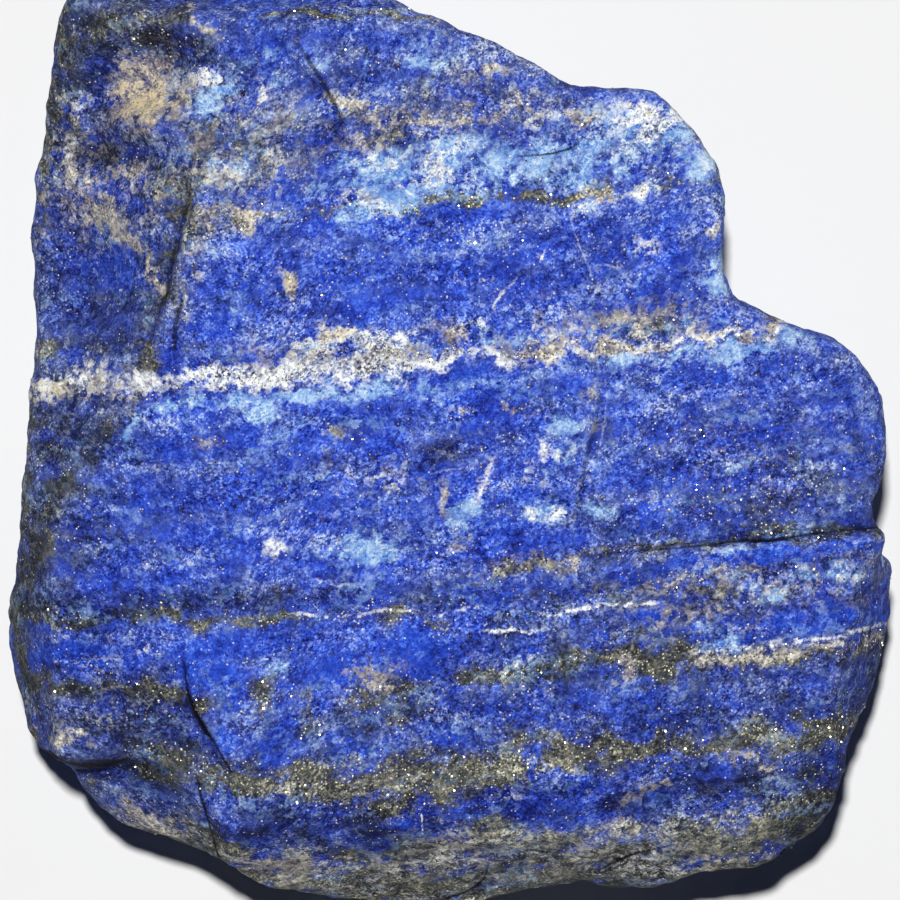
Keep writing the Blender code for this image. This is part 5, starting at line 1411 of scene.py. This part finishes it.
@dataclass(frozen=True)
class LapisFinish:
    """The finish of the stone: how each mineral looks, from its darkest to its lightest grains."""

    groups: dict
    sizes: GrainSizes = GrainSizes()
    blue: Stops = (
        (0.00, paint(10, 18, 76)), (0.22, paint(25, 43, 138)), (0.42, paint(39, 66, 180)),
        (0.58, paint(54, 87, 208)), (0.76, paint(95, 131, 228)), (1.00, paint(164, 191, 240)),
    )
    dust: Stops = (
        (0.00, paint(20, 26, 54)), (0.22, paint(40, 50, 92)), (0.42, paint(64, 77, 128)),
        (0.58, paint(92, 103, 146)), (0.76, paint(138, 148, 180)), (1.00, paint(206, 212, 224)),
    )
    dustiness: float = 0.17
    # How much darker the navy share makes the tone: partly real navy, partly painted shade
    navy_and_shade_depth: float = 0.36
    sky_flecks: float = 0.07
    white_flecks: float = -0.02
    vivid: Stops = (
        (0.00, paint(16, 30, 110)), (0.35, paint(30, 58, 168)), (0.60, paint(42, 78, 198)),
        (0.80, paint(70, 112, 222)), (1.00, paint(120, 158, 236)),
    )
    sky: Stops = (
        (0.00, paint(50, 86, 180)), (0.30, paint(100, 142, 208)), (0.50, paint(142, 176, 218)),
        (0.75, paint(184, 208, 232)), (1.00, paint(226, 238, 246)),
    )
    grey: Stops = (
        (0.00, paint(24, 26, 36)), (0.30, paint(52, 55, 60)), (0.50, paint(82, 84, 82)),
        (0.68, paint(118, 118, 106)), (0.84, paint(166, 162, 142)), (1.00, paint(226, 220, 196)),
    )
    beige: Stops = (
        (0.00, paint(70, 70, 92)), (0.30, paint(118, 114, 124)), (0.52, paint(164, 160, 156)),
        (0.74, paint(206, 200, 186)), (1.00, paint(244, 238, 224)),
    )
    stain: Stops = (
        (0.00, paint(84, 84, 112)), (0.28, paint(156, 148, 146)), (0.46, paint(206, 190, 158)),
        (0.66, paint(226, 206, 158)), (1.00, paint(250, 240, 204)),
    )
    white: Stops = (
        (0.00, paint(60, 58, 76)), (0.20, paint(122, 130, 160)), (0.36, paint(178, 186, 204)),
        (0.54, paint(226, 229, 230)), (0.74, paint(248, 248, 243)), (1.00, paint(253, 253, 251)),
    )
    # Pyrite specks, whose lightest end is a painted glint
    pyrite_glint: Stops = ((0.00, paint(48, 46, 40)), (0.45, paint(142, 136, 112)), (1.00, paint(250, 246, 220)))
    # Painted shade of the cracks and of the feet of the ledges
    crack_shade: Colour = paint(10, 11, 18)
    specular: float = 0.12

    @staticmethod
    def tone(bench: NodeBench, grain: bpy.types.Node, cloud: Sequence[bpy.types.NodeSocket],
             clump: bpy.types.NodeSocket, crystal: bpy.types.NodeSocket) -> bpy.types.NodeSocket:
        """How light each grain is, before it takes its mineral's colour. It is about 0.5 on the average. Standing-out
        edges come out lighter, as wear, and hollows darker, as painted shade.
        """
        roughness = bench.math("MULTIPLY_ADD", bench.math("SUBTRACT", cloud[2], 0.5), 2.8, 1.0)
        roughness = bench.math("MAXIMUM", roughness, 0.35)
        fine = bench.math("MULTIPLY", bench.math("SUBTRACT", grain.outputs["Grain"], 0.5), 1.05)
        fine = bench.math("MULTIPLY_ADD", bench.math("SUBTRACT", crystal, 0.5), 0.44, fine)
        tone = bench.math("MULTIPLY_ADD", fine, roughness, 0.465)
        tone = bench.math("MULTIPLY_ADD", bench.math("SUBTRACT", clump, 0.5), 0.24, tone)
        tone = bench.math("MULTIPLY_ADD", bench.math("SUBTRACT", cloud[0], 0.5), 0.55, tone)
        return bench.math("MULTIPLY_ADD", bench.value(Attribute.WEAR_AND_HOLLOW_SHADE.value), 0.14, tone)

    def make(self) -> bpy.types.Material:
        """Builds the material."""
        material = bpy.data.materials.new("banded_lapis")
        material.use_nodes = True
        bench = NodeBench(material.node_tree)
        surface = material.node_tree.nodes["Principled BSDF"]
        place = bench.attribute(Attribute.BED_PLACE.value).outputs["Vector"]
        grain = bench.group(self.groups["grain"], self.sizes.inputs(place))
        crystal = bench.node("ShaderNodeSeparateColor", {"Color": grain.outputs["Crystal"]}).outputs
        patch = bench.node("ShaderNodeSeparateColor", {"Color": grain.outputs["Patch"]}).outputs
        fleck = bench.node("ShaderNodeSeparateColor", {"Color": grain.outputs["Fleck"]}).outputs
        cloud = bench.node("ShaderNodeSeparateColor", {"Color": grain.outputs["Cloud"]}).outputs
        clump = bench.node("ShaderNodeSeparateColor", {"Color": grain.outputs["Clump"]}).outputs
        light = self.tone(bench, grain, cloud, clump[0], crystal[0])
        # Darker by the navy share, which holds real navy and painted shade
        dark = bench.math("MULTIPLY_ADD", bench.value(Mineral.NAVY_AND_SHADE.value), -self.navy_and_shade_depth, light)
        colour = bench.ramp(dark, self.blue)
        dusty = bench.math("MULTIPLY_ADD", bench.value(Mineral.DUST.value), 0.7, self.dustiness)
        # Dustier on standing-out edges as wear, less so in the painted shade of the hollows
        dusty = bench.math("MULTIPLY_ADD", bench.value(Attribute.WEAR_AND_HOLLOW_SHADE.value), 0.2, dusty)
        dusty = bench.math("MULTIPLY_ADD", bench.math("SUBTRACT", patch[0], 0.5), 1.6, dusty)
        dusty = bench.math("MULTIPLY_ADD", bench.math("SUBTRACT", clump[1], 0.5), 0.3, dusty, clamp=True)
        colour = bench.mix(dusty, colour, bench.ramp(dark, self.dust))
        sky_flecks = bench.math("MULTIPLY_ADD", bench.math("SUBTRACT", cloud[1], 0.5), 1.1, self.sky_flecks)
        white_flecks = bench.math("MULTIPLY_ADD", bench.math("SUBTRACT", cloud[2], 0.5), 0.7, self.white_flecks)
        matrix = bench.math("MULTIPLY", bench.value(Mineral.PYRITE.value), 0.12)
        cream_specks = bench.math("MULTIPLY", bench.value(Mineral.PYRITE.value), 0.06)
        for layer in (
            Layer(Mineral.VIVID, self.vivid, dark, patch[1], fleck[1], 0.3, 0.7),
            Layer(Mineral.GREY, self.grey, dark, patch[2], fleck[0], 0.45, 0.6, matrix),
            Layer(Mineral.SKY, self.sky, light, patch[1], fleck[2], 0.6, 0.6, sky_flecks),
            Layer(Mineral.CALCITE, self.white, light, patch[0], fleck[0], 0.75, 0.55, white_flecks),
            Layer(Mineral.BEIGE, self.beige, light, patch[2], fleck[1], 0.7, 0.55, cream_specks),
            Layer(Mineral.STAIN, self.stain, light, patch[2], fleck[0], 0.6, 0.9),
        ):
            clumps = bench.math("MULTIPLY_ADD", bench.math("SUBTRACT", clump[2], 0.5), 0.3, layer.flecks)
            ragged = bench.math("MULTIPLY_ADD", bench.math("SUBTRACT", clumps, layer.edge), layer.ragged, layer.edge)
            share = bench.math("MULTIPLY_ADD", bench.value(layer.mineral.value), 1.15, layer.everywhere)
            mask = bench.group(self.groups["share"], {
                "Share": share, "Pattern": ragged, "Speck": crystal[1], "Speckle": 0.12,
                "Softness": layer.softness})
            colour = bench.mix(mask.outputs["Mask"], colour, bench.ramp(layer.tone, layer.stops))
        veinlet = bench.group(self.groups["line"], {
            "Offset": bench.value(Attribute.VEINLET_OFFSET.value),
            "Share": bench.value(Attribute.VEINLET_SHARE.value), "Pattern": grain.outputs["Grain"],
            "Waver": 7.0, "Gaps": bench.math("MULTIPLY_ADD", patch[1], 0.35, bench.math("MULTIPLY", fleck[1], 0.62))})
        lighter = bench.math("ADD", light, 0.12, clamp=True)
        colour = bench.mix(veinlet.outputs["Mask"], colour, bench.ramp(lighter, self.white))
        # Painted glints: single pyrite crystals turned up to near white
        glint = self.glints(bench, grain, crystal[2], clump[2])
        colour = bench.mix(glint, colour, bench.ramp(crystal[0], self.pyrite_glint))
        # Painted shade, almost black, in the cracks and at the feet of the ledges
        crack_shade = bench.group(self.groups["line"], {
            "Offset": bench.value(Attribute.CRACK_SHADE_OFFSET.value),
            "Share": bench.value(Attribute.CRACK_SHADE_SHARE.value), "Pattern": grain.outputs["Grain"],
            "Waver": 3.0, "Gaps": 1.0})
        colour = bench.mix(crack_shade.outputs["Mask"], colour, (*self.crack_shade, 1))
        rough = bench.math("MULTIPLY_ADD", crystal[2], 0.2, 0.72)
        raised = bench.node("ShaderNodeBump", {"Height": grain.outputs["Height"], "Distance": MM,
                                               "Strength": 0.8})
        links = material.node_tree.links
        links.new(colour, surface.inputs["Base Color"])
        links.new(rough, surface.inputs["Roughness"])
        links.new(bench.math("MULTIPLY", glint, 0.4), surface.inputs["Metallic"])
        links.new(raised.outputs["Normal"], surface.inputs["Normal"])
        surface.inputs["Specular IOR Level"].default_value = self.specular
        return material

    @staticmethod
    def glints(bench: NodeBench, grain: bpy.types.Node, crystal: bpy.types.NodeSocket,
               clump: bpy.types.NodeSocket) -> bpy.types.NodeSocket:
        """The finest specks of pyrite, whose colour rises to a painted glint: the middles of single crystals, more of
        them in a few of the clumps.
        """
        clustered = bench.math("MAXIMUM", bench.math("SUBTRACT", clump, 0.72), 0.0)
        clustered = bench.math("MULTIPLY_ADD", clustered, 0.8, 0.024)
        share = bench.math("MULTIPLY_ADD", bench.value(Mineral.PYRITE.value), 0.34, clustered)
        over = bench.math("SUBTRACT", share, bench.math("SUBTRACT", 1.0, crystal))
        picked = bench.math("MULTIPLY", over, 60.0, clamp=True)
        return bench.math("MULTIPLY", picked, grain.outputs["Core"])


@dataclass(frozen=True)
class PyriteFinish:
    """The brassy metal of the pyrite grains, a little tarnished."""

    groups: dict
    sizes: GrainSizes = GrainSizes(grain=0.5)
    metal: Stops = ((0.25, paint(150, 140, 110)), (0.5, paint(216, 206, 172)), (0.75, paint(250, 244, 224)))

    def make(self) -> bpy.types.Material:
        """Builds the material."""
        material = bpy.data.materials.new("tarnished_pyrite")
        material.use_nodes = True
        bench = NodeBench(material.node_tree)
        surface = material.node_tree.nodes["Principled BSDF"]
        place = bench.node("ShaderNodeTexCoord").outputs["Object"]
        scaled = bench.node("ShaderNodeMapping", {"Vector": place, "Scale": (1 / MM, 1 / MM, 1 / MM)})
        grain = bench.group(self.groups["grain"], self.sizes.inputs(scaled.outputs[0]))
        tone = bench.math("MULTIPLY_ADD", bench.math("SUBTRACT", grain.outputs["Grain"], 0.5), 1.6, 0.5)
        links = material.node_tree.links
        links.new(bench.ramp(tone, self.metal), surface.inputs["Base Color"])
        links.new(bench.math("MULTIPLY_ADD", grain.outputs["Grain"], 0.3, 0.22), surface.inputs["Roughness"])
        surface.inputs["Metallic"].default_value = 1.0
        return material


@dataclass
class PyriteGrains:
    """The larger grains of pyrite, strewn over the block by Geometry Nodes where its pyrite is."""

    per_square_metre: float = 1.1e6
    smallest: float = 0.1 * MM
    largest: float = 0.26 * MM
    seed: int = 11

    def make_tree(self) -> bpy.types.NodeTree:
        """Builds the node tree that strews the grains."""
        tree = bpy.data.node_groups.new("strewn_grains", "GeometryNodeTree")
        sockets = (("Geometry", "NodeSocketGeometry"), ("Grains per Square Metre", "NodeSocketFloat"),
                   ("Smallest", "NodeSocketFloat"), ("Largest", "NodeSocketFloat"),
                   ("Seed", "NodeSocketInt"), ("Metal", "NodeSocketMaterial"))
        for name, kind in sockets:
            tree.interface.new_socket(name, in_out="INPUT", socket_type=kind)
        tree.interface.new_socket("Geometry", in_out="OUTPUT", socket_type="NodeSocketGeometry")
        bench = NodeBench(tree)
        start, end = bench.node("NodeGroupInput").outputs, bench.node("NodeGroupOutput")
        share = bench.node("GeometryNodeInputNamedAttribute", {"Name": Mineral.PYRITE.value}, data_type="FLOAT")
        density = bench.math("MULTIPLY", start["Grains per Square Metre"], share.outputs["Attribute"])
        strewn = bench.node("GeometryNodeDistributePointsOnFaces", {
            "Mesh": start["Geometry"], "Density": density, "Seed": start["Seed"]})
        turn = bench.node("FunctionNodeRandomValue", {1: (math.tau, math.tau, math.tau), "Seed": start["Seed"]},
                          data_type="FLOAT_VECTOR")
        width = bench.node("FunctionNodeRandomValue", {2: start["Smallest"], 3: start["Largest"],
                                                       "Seed": start["Seed"]}, data_type="FLOAT")
        grain = bench.node("GeometryNodeMeshCube", {"Size": (1.0, 0.8, 0.65)})
        placed = bench.node("GeometryNodeInstanceOnPoints", {
            "Points": strewn.outputs["Points"], "Instance": grain.outputs["Mesh"],
            "Rotation": turn.outputs["Value"], "Scale": width.outputs[1]})
        whole = bench.node("GeometryNodeRealizeInstances", {"Geometry": placed.outputs["Instances"]})
        dressed = bench.node("GeometryNodeSetMaterial", {
            "Geometry": whole.outputs["Geometry"], "Material": start["Metal"]})
        tree.links.new(dressed.outputs["Geometry"], end.inputs["Geometry"])
        return tree

    def build(self, stone: bpy.types.Object, metal: bpy.types.Material) -> bpy.types.Object:
        """Strews the grains and turns them into a plain mesh.

        Args:
            stone: The finished block, whose mesh has the pyrite's share.
            metal: The grains' material.

        Returns:
            One object that holds every grain.
        """
        grains = bpy.data.objects.new("pyrite_grains", stone.data.copy())
        bpy.context.scene.collection.objects.link(grains)
        tree = self.make_tree()
        strewer = grains.modifiers.new("strewn_grains", "NODES")
        strewer.node_group = tree
        values = {"Grains per Square Metre": self.per_square_metre, "Smallest": self.smallest,
                  "Largest": self.largest, "Seed": self.seed, "Metal": metal}
        for item in tree.interface.items_tree:
            if item.in_out == "INPUT" and item.name in values:
                strewer[item.identifier] = values[item.name]
        bake_modifiers(grains)
        for kind in (*Mineral, *Attribute):
            carried = grains.data.attributes.get(kind.value)
            if carried is not None:
                grains.data.attributes.remove(carried)
        log.info("pyrite: %d grains", len(grains.data.polygons) // 6)
        return grains


@dataclass
class Studio:
    """A pale table, soft light from above its far side, and a camera that looks straight down."""

    photo_centre: tuple[float, float] = (-0.165 * MM, -1.54 * MM)
    photo_width: float = 99 * MM
    aim_height: float = 30 * MM
    camera_height: float = 1.2
    sensor: float = 36.0
    floor_side: float = 3.0
    floor_gap: float = 0.05 * MM
    floor_colour: Colour = (0.70, 0.70, 0.695)
    key_place: tuple[float, float, float] = (-0.045, 0.27, 2.2)
    key_size: float = 0.08
    key_power: float = 62.0
    ambient: float = 0.002

    def add_floor(self) -> bpy.types.Object:
        """The pale table top."""
        table = bmesh.new()
        bmesh.ops.create_grid(table, x_segments=1, y_segments=1, size=self.floor_side / 2)
        bmesh.ops.translate(table, verts=table.verts, vec=(0, 0, -self.floor_gap))
        mesh = bpy.data.meshes.new("table_top")
        table.to_mesh(mesh)
        table.free()
        material = bpy.data.materials.new("pale_table")
        material.use_nodes = True
        surface = material.node_tree.nodes["Principled BSDF"]
        surface.inputs["Base Color"].default_value = (*self.floor_colour, 1)
        surface.inputs["Roughness"].default_value = 0.9
        surface.inputs["Specular IOR Level"].default_value = 0.1
        mesh.materials.append(material)
        floor = bpy.data.objects.new("table_top", mesh)
        bpy.context.scene.collection.objects.link(floor)
        return floor

    def add_light(self) -> None:
        """One soft lamp near the camera, and an even pale surrounding."""
        lamp = bpy.data.lights.new("soft_lamp", "AREA")
        lamp.shape = "DISK"
        lamp.size = self.key_size
        lamp.energy = self.key_power
        holder = bpy.data.objects.new("soft_lamp", lamp)
        holder.location = self.key_place
        holder.rotation_euler = (Vector(self.key_place) * -1).to_track_quat("-Z", "Y").to_euler()
        bpy.context.scene.collection.objects.link(holder)
        world = bpy.data.worlds.new("pale_room")
        world.use_nodes = True
        world.node_tree.nodes["Background"].inputs["Color"].default_value = (1, 1, 1, 1)
        world.node_tree.nodes["Background"].inputs["Strength"].default_value = self.ambient
        bpy.context.scene.world = world

    def add_camera(self, shift: Vector) -> None:
        """The camera, over the middle of the picture.

        Args:
            shift: How far the block was moved from where it was drawn.
        """
        lens = bpy.data.cameras.new("camera")
        lens.sensor_width = self.sensor
        lens.lens = self.sensor * self.camera_height / self.photo_width
        camera = bpy.data.objects.new("camera", lens)
        centre_x, centre_y = self.photo_centre
        camera.location = (centre_x + shift.x, centre_y + shift.y, self.aim_height + self.camera_height)
        bpy.context.scene.collection.objects.link(camera)
        bpy.context.scene.camera = camera
        bpy.context.scene.view_settings.view_transform = "Standard"


def put_in_place(stone: bpy.types.Object) -> Vector:
    """Brings the block to metres and over the middle of its node.

    Args:
        stone: The block, in millimetres where it was drawn.

    Returns:
        How far it was moved sideways, in metres.
    """
    low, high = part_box(STONE_NODE)
    points = read_points(stone.data) * MM
    middle = (points.min(axis=0) + points.max(axis=0)) / 2
    shift = Vector(((low.x + high.x) / 2 - middle[0], (low.y + high.y) / 2 - middle[1], 0))
    stone.data.transform(Matrix.Translation(shift) @ Matrix.Scale(MM, 4))
    stone.data.update()
    return shift


def main() -> None:
    """Builds the stone, dresses it and sets it on its table."""
    logging.basicConfig(level=logging.INFO, format="%(name)s: %(message)s")
    stone = BrokenBlock().build()
    MineralLayout().dress(stone.data)
    shift = put_in_place(stone)
    groups = {"grain": make_grain_group(), "share": make_share_group(), "line": make_line_group()}
    stone.data.materials.clear()
    stone.data.materials.append(LapisFinish(groups).make())
    stone.data.shade_smooth()
    grains = PyriteGrains().build(stone, PyriteFinish(groups).make())
    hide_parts(STONE_NODE)
    for piece in (stone, grains):
        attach(piece, BODY)
        log.info("piece %s rides on %s", piece.name, BODY)
    studio = Studio()
    studio.add_floor()
    studio.add_light()
    studio.add_camera(shift)


if __name__ == "__main__":
    main()
